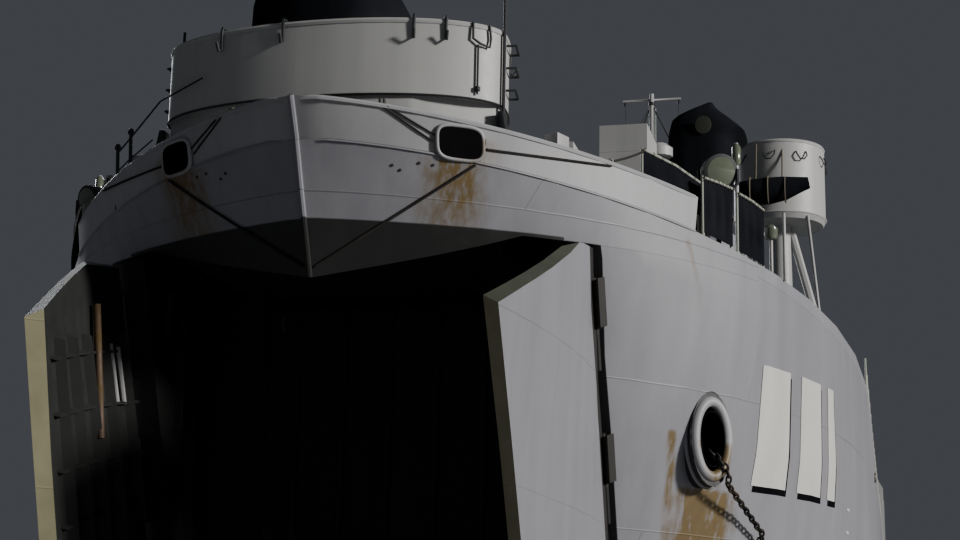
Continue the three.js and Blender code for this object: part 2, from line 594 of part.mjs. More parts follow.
function bitts(x, y) {
  const foot = deckAt(y);
  const base = block(x - BITT.baseHalf, x + BITT.baseHalf, y - BITT.baseLength, y + BITT.baseLength,
    foot - SUNK, foot + BITT.baseThick);
  const posts = [-BITT.spread, BITT.spread].map((along) => (
    upright(x, y + along, foot, foot + BITT.height, BITT.radius, 10)));
  return join(base, ...posts);
}

const deckFittings = SIDES.flatMap(({ side }) => [
  upright(side * FORE_MOUNT.x, FORE_MOUNT.y, deckAt(FORE_MOUNT.y) - SUNK, FORE_MOUNT.pedestal,
    FORE_MOUNT.radius, 16),
  ...DECK_VENT_YS.map((y) => mushroomVent(side * DECK_VENT.x, y)),
  ...BITT_YS.map((y) => bitts(side * BITT.x, y)),
]);
addNode('main_deck', join(deckPart, ...deckFittings), 'deck');

// Bow bulwark round the stem, leaning forward at the top
const bulwarkYs = [...deckYs.filter((y) => y > STEM_KNUCKLE_Y + 1 && y < BULWARK.aftY), BULWARK.aftY];
const BULWARK_LIFT = FIT + 0.2;
function bulwarkSection(y, side) {
  const half = knuckleHalf(y) - BULWARK.inset;
  const ahead = BULWARK.lean * (1 - half / HALF_BEAM) ** 2;
  const inner = Math.max(4, half - BULWARK.thick);
  const back = BULWARK.thick * Math.max(0, 1 - half / BULWARK.taper);
  const z = deckAt(y) + BULWARK_LIFT;
  const zBack = deckAt(y + back) + BULWARK_LIFT;
  return [
    [side * half, y, z], [side * half * BULWARK.flare, y - ahead, z + BULWARK.height],
    [side * inner, y - ahead + back, z + BULWARK.height], [side * inner, y + back, zBack],
  ];
}
const stemFrontY = STEM_KNUCKLE_Y + 2;
const stemBackY = stemFrontY + BULWARK.thick;
const stemLowZ = deckAt(STEM_KNUCKLE_Y) + BULWARK_LIFT;
const stemTopZ = stemLowZ + BULWARK.height;
const stemSection = [
  [0, stemFrontY, stemLowZ], [0, stemFrontY - BULWARK.lean, stemTopZ],
  [0, stemBackY - BULWARK.lean, stemTopZ], [0, stemBackY, stemLowZ],
];
const bulwarkRings = [
  ...bulwarkYs.slice().reverse().map((y) => bulwarkSection(y, -1)),
  stemSection,
  ...bulwarkYs.map((y) => bulwarkSection(y, 1)),
];

function chockHole({ side }) {
  const geometry = new THREE.CylinderGeometry(CHOCK.half, CHOCK.half, CHOCK.depth, 20);
  geometry.scale(1, 1, CHOCK.tall);
  geometry.rotateZ(side * Math.PI / 4);
  geometry.translate(side * CHOCK.x, CHOCK.y, deckAt(CHOCK.y) + CHOCK.rise);
  return solid(geometry);
}
const bulwark = loft(bulwarkRings, fan(4)).subtract(join(...SIDES.map(chockHole)));
addNode('bow_bulwark', onDeck(bulwark), 'hull');

// Open round tub with a floor
function tub({ x, y, floor, rim, radius, wall, segments }) {
  const outer = upright(x, y, floor, rim, radius, segments);
  return outer.subtract(upright(x, y, floor + wall, rim + LAP, radius - wall, segments));
}

// Canvas pulled over a mount: a wide lower part and a tapering top
const COVER_SHOULDER = { share: 0.55, narrow: 0.92, segments: 16 };
function canvasCover(x, y, z0, z1, radius, peak) {
  const { share, narrow, segments } = COVER_SHOULDER;
  const shoulder = z0 + (z1 - z0) * share;
  const low = upright(x, y, z0, shoulder, radius, segments, radius * narrow);
  return low.add(upright(x, y, shoulder - 1, z1, radius * narrow, segments, peak));
}

// Bow tub over its drum, which stays inside the bulwark
function tubOutline(inset) {
  return Array.from({ length: BOW_TUB.segments }, (_, i) => {
    const angle = 2 * Math.PI * i / BOW_TUB.segments;
    const depth = Math.sin(angle) < 0 ? BOW_TUB.fore : BOW_TUB.aft;
    return [(BOW_TUB.half - inset) * Math.cos(angle), BOW_TUB.y + (depth - inset) * Math.sin(angle)];
  });
}
const drumYs = bulwarkYs.filter((y) => knuckleHalf(y) > BOW_DRUM.fromBulwark + 8);
const drumEdge = drumYs.map((y) => [knuckleHalf(y) - BOW_DRUM.fromBulwark, y + 10]);
const insideBulwark = prism([
  [0, STEM_KNUCKLE_Y + 20], ...drumEdge, [BOW_DRUM.aftHalf, BOW_DRUM.aftY], [-BOW_DRUM.aftHalf,
    BOW_DRUM.aftY],
  ...drumEdge.slice().reverse().map(([x, y]) => [-x, y]),
], 800, OVER);
const bowDrum = prism(tubOutline(BOW_DRUM.inset), BOW_DRUM.footZ,
  BOW_TUB.floor + LAP).intersect(insideBulwark);
const bowTubWall = prism(tubOutline(0), BOW_TUB.floor, BOW_TUB.rim)
  .subtract(prism(tubOutline(BOW_TUB.wall), BOW_TUB.floor + BOW_TUB.wall, BOW_TUB.rim + LAP));
addNode('bow_tub', bowTubWall.add(onDeck(bowDrum)), 'upper');
addNode('bow_mount_cover', canvasCover(BOW_COVER.x, BOW_COVER.y, BOW_TUB.floor + BOW_TUB.wall + FIT,
  BOW_COVER.top,
  BOW_COVER.radius, BOW_COVER.peak), 'canvas');

// Canvas tents over the fore mounts, each with a ridge between two peaks
SIDES.forEach(({ side, name }) => {
  const foot = FORE_MOUNT.pedestal + FIT;
  const rings = TENT_LEVELS.map(({ up, wide, long }) => TENT_PLAN.map(([a, b]) => [
    side * FORE_MOUNT.x + a * wide, FORE_MOUNT.y + b * long, foot + (FORE_MOUNT.top - foot) * up,
  ]));
  addNode(`fore_mount_cover_${name}`, loft(rings, fan(TENT_PLAN.length)), 'canvas');
});

// Side tubs, each on a dish, a post and two struts
SIDES.forEach(({ side, name }) => {
  const x = side * SIDE_TUB.x;
  const dish = upright(x, SIDE_TUB.y, SIDE_DISH.z0, SIDE_DISH.z1, SIDE_DISH.foot, SIDE_TUB.segments,
    SIDE_DISH.head);
  const legs = SIDE_TUB_LEGS.map(({ topX, aft, footX, footAft, footZ, radius, segments }) => bar(
    [side * topX, SIDE_TUB.y + aft, SIDE_LEG_TOP_Z],
    [side * footX, SIDE_TUB.y + footAft, footZ],
    radius,
    segments,
  ));
  addNode(`side_tub_${name}`, join(tub({ ...SIDE_TUB, x }), dish, onDeck(join(...legs))), 'upper');
});

// Lockers, houses and tall vents on the forecastle
FORE_BOXES.forEach(({ name, ...size }) => {
  addNode(name, onDeck(solid(boxGeometry(size))), 'upper');
});
SIDES.forEach(({ side, name }) => {
  const x = side * FORE_VENT.x;
  const { y, top, head, deep, crown } = FORE_VENT;
  const stem = onDeck(upright(x, y, FORE_VENT.footZ, top - deep + 4, FORE_VENT.stem, 10));
  const drum = upright(x, y, top - deep, top - crown, head, 12);
  const cap = upright(x, y, top - crown - 0.5, top, head, 12, head * FORE_VENT.crownTo);
  addNode(`vent_fore_${name}`, join(stem, drum, cap), 'upper');
});

// Windlass with a drum on either side
const windlassDrums = SIDES.map(({ side }) => {
  const [x0, x1] = aside(side, WINDLASS.drumFrom, WINDLASS.drumTo);
  return bar([x0, WINDLASS.y, WINDLASS.axleZ], [x1, WINDLASS.y, WINDLASS.axleZ], WINDLASS.drum, 14);
});
const windlassBox = ({ half, long, z0, z1 }) => block(-half, half, WINDLASS.y - long, WINDLASS.y + long,
  z0, z1);
addNode('windlass', join(
  onDeck(windlassBox(WINDLASS_BASE)),
  windlassBox(WINDLASS_HEAD),
  bar([-WINDLASS.axleHalf, WINDLASS.y, WINDLASS.axleZ], [WINDLASS.axleHalf, WINDLASS.y, WINDLASS.axleZ],
    WINDLASS.axle, 10),
  ...windlassDrums,
), 'steel');

// Cargo hatch with two leaves hinged on its long sides
const coamingTop = DECK_Z + HATCH.height;
const coaming = block(-HATCH.x - HATCH.rim, HATCH.x + HATCH.rim, HATCH.y0 - HATCH.rim, HATCH.y1 + HATCH.rim,
  HATCH.footZ, coamingTop).subtract(block(-HATCH.x, HATCH.x, HATCH.y0, HATCH.y1, UNDER, OVER));
addNode('hatch_coaming', onDeck(coaming), 'upper');
SIDES.forEach(({ side, name }) => {
  const hingeX = HATCH.x + LEAF.hingeOut;
  const hingeZ = coamingTop + LEAF.hingeUp;
  const [x0, x1] = aside(side, LEAF.fromCentre, hingeX);
  const leaf = block(x0, x1, HATCH.y0 - LEAF.overhang, HATCH.y1 + LEAF.overhang, coamingTop + FIT,
    coamingTop + LEAF.thick);
  const barrel = bar([side * hingeX, HATCH.y0 + LEAF.barrelEnd, hingeZ], [side * hingeX,
    HATCH.y1 - LEAF.barrelEnd,
    hingeZ], LEAF.barrel, 10);
  addNode(`hatch_cover_${name}`, leaf.add(barrel), 'deck');
});

// Cargo mast and its boom, resting just above the hatch
const gooseneckCheeks = SIDES.map(({ side }) => {
  const [x0, x1] = aside(side, GOOSENECK.inner, GOOSENECK.outer);
  return block(x0, x1, CARGO_MAST.y - GOOSENECK.ahead, CARGO_MAST.y - GOOSENECK.aft, GOOSENECK.z0,
    GOOSENECK.z1);
});
addNode('cargo_mast', join(
  upright(0, CARGO_MAST.y, DECK_Z + FIT, CARGO_MAST.top, CARGO_MAST.foot, 12, CARGO_MAST.head),
  upright(0, CARGO_MAST.y, DECK_Z + FIT, DECK_Z + MAST_STEP.height, MAST_STEP.radius, 12),
  bar([-CARGO_MAST.crossHalf, CARGO_MAST.y, CARGO_MAST.crossZ], [CARGO_MAST.crossHalf, CARGO_MAST.y,
    CARGO_MAST.crossZ], CARGO_MAST.cross, 8),
  ...gooseneckCheeks,
), 'upper');
const boomY = CARGO_MAST.y - BOOM.ahead;
const boomTip = [0, boomY - BOOM.length * Math.cos(BOOM.rise), BOOM.z + BOOM.length * Math.sin(BOOM.rise)];
const boomHeel = [0, boomY - 4, BOOM.z + 0.7];
addNode('cargo_boom', join(
  bar(boomHeel, boomTip, BOOM.heel, 10, BOOM.tip),
  bar([-BOOM.eyeHalf, boomY, BOOM.z], [BOOM.eyeHalf, boomY, BOOM.z], BOOM.eye, 12),
), 'upper');

// Houses aft, one on another, with the conning tub on top
HOUSES.forEach(({ name, half, y0, y1, corner, z0, z1, paint }) => {
  const plan = [
    [-half + corner, y0], [half - corner, y0], [half, y0 + corner], [half, y1], [-half, y1], [-half,
      y0 + corner],
  ];
  addNode(name, prism(plan, z0, z1), paint);
});
addNode('conning_tub', tub(CONNING_TUB), 'upper');

// Main mast on three legs, its yard and the aerial
const mastLegs = SIDES.map(({ side }) => bar([side * MAST_LEG.x, MAST.y + MAST_LEG.aft, MAST_LEG.footZ],
  [0, MAST.y, MAST_LEG.topZ], MAST_LEG.radius, 8));
addNode('main_mast', join(
  upright(0, MAST.y, BRIDGE_TOP_Z + FIT, MAST.top, MAST.foot, 12, MAST.head),
  bar([-MAST.yardHalf, MAST.y, MAST.yardZ], [MAST.yardHalf, MAST.y, MAST.yardZ], MAST.yard, 8),
  ...mastLegs,
), 'upper');
addNode('radar_aerial', join(
  upright(0, MAST.y, MAST.top + FIT, MAST.top + AERIAL.stubHeight, AERIAL.stub, 12),
  block(-AERIAL.half, AERIAL.half, MAST.y - AERIAL.thick, MAST.y + AERIAL.thick, MAST.top + AERIAL.z0,
    MAST.top + AERIAL.z1),
), 'steel');

// Tubs aft
SIDES.forEach(({ side, name }) => {
  addNode(`aft_tub_${name}`, tub({ ...AFT_TUB, x: side * AFT_TUB.x }), 'upper');
});
const sternDrum = upright(0, STERN_TUB.y, STERN_DRUM.footZ, STERN_TUB.floor + LAP, STERN_DRUM.radius,
  STERN_DRUM.segments);
addNode('stern_tub', tub(STERN_TUB).add(onDeck(sternDrum)), 'upper');
addNode('stern_mount_cover', canvasCover(0, STERN_TUB.y, STERN_TUB.floor + STERN_TUB.wall + FIT,
  STERN_COVER.top,
  STERN_COVER.radius, STERN_COVER.peak), 'canvas');

// Boats with two thwarts, by which they hang
function boatForm(inset, rise) {
  const last = BOAT_SECTIONS.length - 1;
  const rows = BOAT_SECTIONS.map(({ y, gunwale, bottom, z0, z1 }, i) => {
    const along = y + (i === 0 ? inset : 0) - (i === last ? inset : 0);
    const [g, b] = [gunwale - inset, bottom - inset];
    const chine = z0 + (z1 - z0) * BOAT.chine;
    return [
      [BOAT.x - b, along, z0 + inset], [BOAT.x + b, along, z0 + inset], [BOAT.x + g, along, chine],
      [BOAT.x + g, along, z1 + rise], [BOAT.x - g, along, z1 + rise], [BOAT.x - g, along, chine],
    ];
  });
  return loft(rows, fan(6));
}
const thwarts = DAVITS.map(({ y }) => block(BOAT.x - THWART.half, BOAT.x + THWART.half, y - THWART.long,
  y + THWART.long, THWART.z0, THWART.z1 - FIT));
const boat = boatForm(0, 0).subtract(boatForm(BOAT.wall, BOAT.mouth)).add(join(...thwarts));

// Davits at the ship's side: a bent arm over the boat and a hanger down to the thwart
const davitOutline = [
  [DAVIT.foot - 12, DECK_Z + FIT], [DAVIT.foot + 12, DECK_Z + FIT], [DAVIT.foot + 10, DAVIT.bendZ],
  [DAVIT.foot - 40, DAVIT.headZ + 14], [BOAT.x - 12, DAVIT.headZ + 14], [BOAT.x - 12, DAVIT.headZ - 6],
  [DAVIT.foot - 48, DAVIT.headZ - 8], [DAVIT.foot - 10, DAVIT.bendZ - 12],
];
function davitArm(y) {
  const shape = new THREE.Shape(davitOutline.map(([x, z]) => new THREE.Vector2(x, z)));
  const geometry = new THREE.ExtrudeGeometry(shape, { depth: DAVIT.half * 2, bevelEnabled: false });
  geometry.rotateX(Math.PI / 2);
  geometry.translate(0, y + DAVIT.half, 0);
  const hanger = block(BOAT.x - DAVIT.hanger, BOAT.x + DAVIT.hanger, y - DAVIT.hanger, y + DAVIT.hanger,
    THWART.z1,
    DAVIT.headZ);
  return solid(geometry).add(hanger);
}
const onSide = (body, side) => (side > 0 ? body : mirrored(body));
SIDES.forEach(({ side, name }) => {
  addNode(`boat_${name}`, onSide(boat, side), 'upper');
  DAVITS.forEach(({ y, place }) => addNode(`davit_${name}_${place}`, onSide(davitArm(y), side), 'upper'));
});

// Bow anchor, hung off below the hawse ring, and its chain
const anchorParts = ANCHOR_PARTS.map((size) => {
  const geometry = boxGeometry(size);
  geometry.rotateZ(ANCHOR.turn);
  geometry.translate(ANCHOR.x, ANCHOR.y, ANCHOR.top);
  return solid(geometry);
});
addNode('bow_anchor', join(...anchorParts).subtract(hullForm), 'steel');
function hawsePoint([reach, drop]) {
  const outX = Math.cos(HAWSE.turn);
  const outY = Math.sin(HAWSE.turn);
  return [HAWSE.x + outX * reach, HAWSE.y + outY * reach, HAWSE.z - drop];
}
const offAnchor = ([x, y, z]) => [ANCHOR.x + x, ANCHOR.y + y, ANCHOR.top + z];
const chainKnots = [hawsePoint(CHAIN.start), hawsePoint(CHAIN.turn), offAnchor(CHAIN.slack),
  offAnchor(CHAIN.shackle)];
const chainRuns = [0, 1, 2].map((i) => bar(chainKnots[i], chainKnots[i + 1], CHAIN.radius, 8));
addNode('bow_anchor_chain', join(...chainRuns), 'steel');

// Stern anchor and winch
addNode('stern_anchor',
  join(...STERN_ANCHOR_PARTS.map((size) => solid(boxGeometry(size)))).subtract(hullForm),
  'steel');
const winchBearings = SIDES.map(({ side }) => {
  const [x0, x1] = aside(side, WINCH_BEARING.inner, WINCH_BEARING.outer);
  return block(x0, x1, WINCH.y - WINCH_BEARING.long, WINCH.y + WINCH_BEARING.long,
    DECK_Z + WINCH_BED.thick - 4,
    WINCH.z + WINCH_BEARING.above);
});
const winchCheeks = SIDES.map(({ side }) => {
  const [x0, x1] = aside(side, WINCH.drumHalf, WINCH.drumHalf + WINCH.cheekThick);
  return bar([x0, WINCH.y, WINCH.z], [x1, WINCH.y, WINCH.z], WINCH.cheek, 20);
});
addNode('stern_winch', join(
  block(-WINCH_BED.half, WINCH_BED.half, WINCH.y - WINCH_BED.long, WINCH.y + WINCH_BED.long, DECK_Z + FIT,
    DECK_Z + WINCH_BED.thick),
  bar([-WINCH_BEARING.outer, WINCH.y, WINCH.z], [WINCH_BEARING.outer, WINCH.y, WINCH.z], WINCH.axle, 12),
  bar([-WINCH.drumHalf, WINCH.y, WINCH.z], [WINCH.drumHalf, WINCH.y, WINCH.z], WINCH.drum, 20),
  ...winchCheeks,
  ...winchBearings,
), 'steel');

// Propellers and rudders
SIDES.forEach(({ side, name }) => {
  const x = side * SHAFT.x;
  const hub = bar([x, SHAFT.y1 + FIT, SHAFT.z], [x, SHAFT.y1 + PROPELLER.length, SHAFT.z], PROPELLER.hub, 14,
    PROPELLER.tip);
  const flatBlade = prism(BLADE_OUTLINE, -PROPELLER.half, PROPELLER.half);
  const blades = Array.from({ length: PROPELLER.blades }, (_, i) => {
    const matrix = new THREE.Matrix4().makeTranslation(x, SHAFT.y1 + 20, SHAFT.z)
      .multiply(new THREE.Matrix4().makeRotationY(i * 2 * Math.PI / PROPELLER.blades))
      .multiply(new THREE.Matrix4().makeRotationX(Math.PI / 2))
      .multiply(new THREE.Matrix4().makeRotationY(side * PROPELLER.twist));
    return solid(geometryOf(flatBlade).applyMatrix4(matrix));
  });
  addNode(`propeller_${name}`, join(hub, ...blades), 'bronze');
  const plate = prism([
    [x, RUDDER.y - RUDDER.fore], [x + RUDDER.half, RUDDER.y], [x + RUDDER.tail, RUDDER.y + RUDDER.aft],
    [x - RUDDER.tail, RUDDER.y + RUDDER.aft], [x - RUDDER.half, RUDDER.y],
  ], RUDDER.z0, RUDDER.z1);
  const stock = upright(x, RUDDER.y, RUDDER.stockFoot, RUDDER_BEARING.z0 - FIT, RUDDER.stock, 12);
  addNode(`rudder_${name}`, plate.add(stock), 'bottom');
});

export default group;
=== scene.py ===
# %% [markdown]
# This lesson dresses a landing ship for tanks, a one-tenth scale model, around its imported CAD frame. The
# first cell loads the frame. All sizes are in metres of the model: one real metre is a tenth here. The bow
# looks along -Y and port is +X.

# %% Load the frame
import json
import math
import random

import bmesh
import bpy
from mathutils import Matrix, Vector
from mathutils.bvhtree import BVHTree


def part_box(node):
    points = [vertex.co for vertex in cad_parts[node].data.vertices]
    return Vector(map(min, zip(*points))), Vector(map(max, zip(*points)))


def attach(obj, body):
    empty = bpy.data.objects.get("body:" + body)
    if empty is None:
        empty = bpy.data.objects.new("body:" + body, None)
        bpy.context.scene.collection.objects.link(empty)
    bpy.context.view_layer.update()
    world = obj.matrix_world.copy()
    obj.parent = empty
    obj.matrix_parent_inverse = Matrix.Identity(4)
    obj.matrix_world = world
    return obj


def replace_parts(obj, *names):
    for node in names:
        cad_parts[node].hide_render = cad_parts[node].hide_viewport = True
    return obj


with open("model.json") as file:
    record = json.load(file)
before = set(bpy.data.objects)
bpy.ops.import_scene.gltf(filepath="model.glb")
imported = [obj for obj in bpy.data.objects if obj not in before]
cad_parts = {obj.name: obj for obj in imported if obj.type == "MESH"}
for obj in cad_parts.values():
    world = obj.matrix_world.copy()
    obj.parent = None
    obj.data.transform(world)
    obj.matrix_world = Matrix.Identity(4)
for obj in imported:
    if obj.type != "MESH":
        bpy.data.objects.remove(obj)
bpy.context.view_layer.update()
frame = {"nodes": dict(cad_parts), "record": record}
NODES = frame["nodes"]

# %% [markdown]
# A photographer stood low on the port bow. The camera is placed from bearings taken on the stem, the door
# hinges and the deck edge. A long, fixed lens keeps those bearings, and the roll of about one degree is part
# of the view.

# %% Camera
STEM_FOOT = Vector((0.0, -4.8845, 0.790))
EYE = STEM_FOOT + Vector((0.801, -2.249, -0.542))
YAW, PITCH, ROLL = math.radians(13.75), math.radians(13.26), math.radians(1.2)
SENSOR_WIDTH, LENS = 36.0, 63.75


def camera_axes(yaw, pitch, roll):
    forward = Vector((-math.sin(yaw) * math.cos(pitch), math.cos(yaw) * math.cos(pitch), math.sin(pitch)))
    right = Vector((math.cos(yaw), math.sin(yaw), 0.0))
    up = right.cross(forward)
    rolled_right = right * math.cos(roll) + up * math.sin(roll)
    rolled_up = -right * math.sin(roll) + up * math.cos(roll)
    return rolled_right, rolled_up, -forward


camera_data = bpy.data.cameras.new("bow_camera")
camera = bpy.data.objects.new("bow_camera", camera_data)
bpy.context.scene.collection.objects.link(camera)
bpy.context.scene.camera = camera
camera_data.sensor_width = SENSOR_WIDTH
camera_data.lens = LENS
camera_data.clip_start = 0.02
camera_data.clip_end = 200.0
axes = camera_axes(YAW, PITCH, ROLL)
turn = Matrix((axes[0], axes[1], axes[2])).transposed().to_4x4()
camera.matrix_world = Matrix.Translation(EYE) @ turn
print("camera at", [round(v, 3) for v in EYE], "lens", camera_data.lens)

# %% [markdown]
# The ship floats, so the floor lies at the waterline of the light ship. A low key light from the port side
# gives the sunlit port bow and leaves the starboard bow and the bow space in shadow. A wide, soft fill from
# the starboard quarter shows the other side from behind, and a weak sky lifts the rest.

# %% Floor and light
WATERLINE_Z = 0.16


def add_mesh_object(name, verts, faces):
    mesh = bpy.data.meshes.new(name)
    mesh.from_pydata([tuple(v) for v in verts], [], faces)
    mesh.update()
    obj = bpy.data.objects.new(name, mesh)
    bpy.context.scene.collection.objects.link(obj)
    return obj


floor = add_mesh_object("floor", [(-60, -60, WATERLINE_Z), (60, -60, WATERLINE_Z), (60, 60, WATERLINE_Z),
                                  (-60, 60, WATERLINE_Z)], [(0, 1, 2, 3)])


def area_light(name, place, target, size, power, colour):
    data = bpy.data.lights.new(name, "AREA")
    data.shape = "DISK"
    data.size = size
    data.energy = power
    data.color = colour
    obj = bpy.data.objects.new(name, data)
    bpy.context.scene.collection.objects.link(obj)
    obj.location = place
    obj.rotation_euler = (Vector(target) - Vector(place)).to_track_quat("-Z", "Y").to_euler()
    return obj


area_light("key", place=(12.9, -7.4, 4.7), target=(0.0, -4.2, 0.8), size=1.8, power=2300.0,
           colour=(1.0, 0.97, 0.93))
area_light("fill", place=(-9.0, 10.0, 6.0), target=(0.0, 1.0, 0.5), size=7.0, power=1700.0,
           colour=(0.93, 0.96, 1.0))
SKY_TONE, SKY_STRENGTH = (0.62, 0.66, 0.75, 1.0), 0.09
world = bpy.data.worlds.new("studio")
bpy.context.scene.world = world
world.use_nodes = True
world.node_tree.nodes["Background"].inputs["Color"].default_value = SKY_TONE
world.node_tree.nodes["Background"].inputs["Strength"].default_value = SKY_STRENGTH
print("floor at", WATERLINE_Z)

# %% [markdown]
# Paint on a working ship is never one flat colour: it fades, streaks and rusts. Materials are written as sums
# of noise, so a small class wraps a node socket and turns Python's + - * / into Math nodes. Long node graphs
# drawn by hand would do the same, but an expression shows the idea in one line. In a call that adds a node,
# small letters name a setting and a capital letter names a socket.

# %% Node expressions


class Term:
    def __init__(self, graph, socket):
        self.graph = graph
        self.socket = socket

    def maths(self, operation, a, b):
        return self.graph.add("ShaderNodeMath", a, b, operation=operation)

    def nearest(self, step):
        return self.maths("PINGPONG", self, step / 2)


for word, sum_kind in (("add", "ADD"), ("sub", "SUBTRACT"), ("mul", "MULTIPLY"), ("truediv", "DIVIDE")):
    setattr(Term, f"__{word}__", lambda self, other, kind=sum_kind: self.maths(kind, self, other))
    setattr(Term, f"__r{word}__", lambda self, other, kind=sum_kind: self.maths(kind, other, self))
for word, sum_kind in (("least", "MINIMUM"), ("most", "MAXIMUM"), ("absolute", "ABSOLUTE"),
                       ("floor", "FLOOR"), ("sine", "SINE"), ("sign", "SIGN")):
    setattr(Term, word, lambda self, other=0.0, kind=sum_kind: self.maths(kind, self, other))


class Graph:
    def add(self, kind, *feeds, output=0, at=None, **values):
        node = self.tree.nodes.new(kind)
        sockets = {**dict(enumerate(feeds)), **(at or {})}
        for key, value in values.items():
            if key[0].isupper():
                sockets[key.replace("_", " ")] = value
            else:
                setattr(node, key, value)
        for key, value in sockets.items():
            self.feed(node.inputs[key], value)
        return Term(self, node.outputs[output])

    def feed(self, socket, value):
        if isinstance(value, Term):
            self.tree.links.new(value.socket, socket)
        elif isinstance(value, tuple) and len(value) == 3 and socket.type == "RGBA":
            socket.default_value = (*value, 1.0)
        else:
            socket.default_value = value


class Paint(Graph):
    def __init__(self, material):
        self.material = bpy.data.materials.new(material) if isinstance(material, str) else material
        self.material.use_nodes = True
        self.tree = self.material.node_tree
        self.shader = self.tree.nodes["Principled BSDF"]
        self.coords = self.add("ShaderNodeTexCoord", output="Object")

    def set(self, **values):
        for key, value in values.items():
            self.feed(self.shader.inputs[key.replace("_", " ")], value)

    def facing(self, index):
        normal = self.add("ShaderNodeNewGeometry", output="Normal")
        return self.add("ShaderNodeSeparateXYZ", normal, output=index)

    def axis(self, index):
        return self.add("ShaderNodeSeparateXYZ", self.coords, output=index)

    def axes(self):
        return [self.axis(index) for index in range(3)]

    def stretched(self, x, y, z):
        return self.add("ShaderNodeMapping", Vector=self.coords, Scale=(x, y, z))

    def noise(self, scale, detail=3.0, rough=0.5, vector=None):
        return self.add("ShaderNodeTexNoise", Vector=vector or self.coords, Scale=scale, Detail=detail,
                        Roughness=rough, output="Fac")

    def band(self, value, low, high):
        return self.add("ShaderNodeMapRange", value, low, high, 0.0, 1.0, clamp=True)

    def inside(self, *edges):
        mask = self.band(*edges[0])
        for edge in edges[1:]:
            mask = mask * self.band(*edge)
        return mask

    def blend(self, factor, first, second):
        return self.add("ShaderNodeMix", factor, at={6: first, 7: second}, data_type="RGBA", output=2)

    def bump(self, height, distance, strength=1.0):
        return self.add("ShaderNodeBump", Height=height, Distance=distance, Strength=strength)

    def colour_so_far(self):
        return Term(self, self.shader.inputs["Base Color"].links[0].from_socket)


print("shader helper ready")

# %% [markdown]
# The hull is plain grey sea paint over welded plates. Broad fading, upright streaks and small specks are
# noises at three scales. The weld seams are the nearest multiples of a strake height and a plate length, with
# each strake shifted, and they stand up a little in the bump. Rust runs down from the hawse and the chocks,
# so it is tied to places on the hull and not to noise alone. Below the light waterline come a black band and
# the bottom paint.

# %% Ship paints
STRAKE = 0.215
PLATE = 0.83


def seam_lines(paint, half_width=0.0014):
    y, z = paint.axis(1), paint.axis(2)
    rise = z - 0.035 * (-1.0 * y - 3.6).most(0.0)
    strake = (rise / STRAKE).floor()
    level = rise.nearest(STRAKE).absolute()
    butt = (y + strake * 0.37).nearest(PLATE).absolute()
    return paint.band(level, half_width, 0.0).most(paint.band(butt, half_width, 0.0))


def rust_run(paint, at_y, top, width, length, strength=1.0, lean=0.0):
    y, z = paint.axis(1), paint.axis(2)
    wobble = (paint.noise(14.0, 2.0) - 0.5) * (width * 0.9)
    across = paint.band((y - at_y - (top - z) * lean + wobble).absolute(), width, width * 0.25)
    down = paint.band(z, top - length, top) * paint.band(z, top + 0.003, top - 0.004)
    threads = paint.band(paint.noise(1.0, 3.0, 0.6, paint.stretched(90.0, 90.0, 2.2)), 0.36, 0.6)
    return across * down * (threads * 0.75 + 0.25) * strength


def plate_paint(name, light, dark, rust=0.25, rough=0.5, seams=0.0, runs=(), flats=None, underwater=False):
    paint = Paint(name)
    clouds = paint.noise(1.7, 4.0, 0.6)
    streaks = paint.noise(1.0, 4.0, 0.6, paint.stretched(24.0, 24.0, 1.1))
    grain = paint.noise(70.0, 3.0, 0.6)
    wear = paint.band(clouds * 0.55 + streaks * 0.45, 0.36, 0.64)
    colour = paint.blend(wear, dark, light)
    specks = (paint.band(paint.noise(34.0, 4.0, 0.7), 0.69, 0.76)
              * paint.band(paint.noise(2.6, 2.0), 0.5, 0.66))
    colour = paint.blend((specks * rust * 3.0).least(0.85), colour, RUST)
    height = paint.noise(5.0, 1.0, 0.3) + grain * 0.05
    if seams:
        lines = seam_lines(paint)
        soft = paint.band(paint.noise(3.2, 2.0), 0.3, 0.62)
        colour = paint.blend(lines * soft * seams, colour, tuple(c * 0.55 for c in dark))
        height = height + lines * 0.35
    for at_y, top, width, length, strength, lean in runs:
        mask = rust_run(paint, at_y, top, width, length, strength, lean)
        if at_y < -4.6:
            mask = mask * paint.band(paint.axis(0).absolute(), 0.06, 0.1)
        colour = paint.blend(mask.least(0.9), colour, paint.blend(grain, DARK_RUST, RUST))
    if underwater:
        z = paint.axis(2)
        for (high, low), tone in ((BOOT_TOP, (0.02, 0.021, 0.022)), (BOOT_FOOT, (0.15, 0.045, 0.035))):
            colour = paint.blend(paint.band(z, high, low), colour, tone)
    if flats:
        upward = paint.facing(2)
        scuffs = paint.blend(paint.band(grain, 0.4, 0.62), flats, tuple(c * 1.5 for c in flats))
        colour = paint.blend(paint.band(upward, 0.72, 0.8), colour, scuffs)
    paint.set(Base_Color=colour, Roughness=rough - 0.08 + grain * 0.16, Metallic=0.0)
    paint.set(Normal=paint.bump(height, 0.004, 0.35))
    return paint.material


def ahead_of_hinge(y, z):
    return y - (HINGE_TOP[1] + (HINGE_TOP[2] - z) * HINGE_SLOPE)


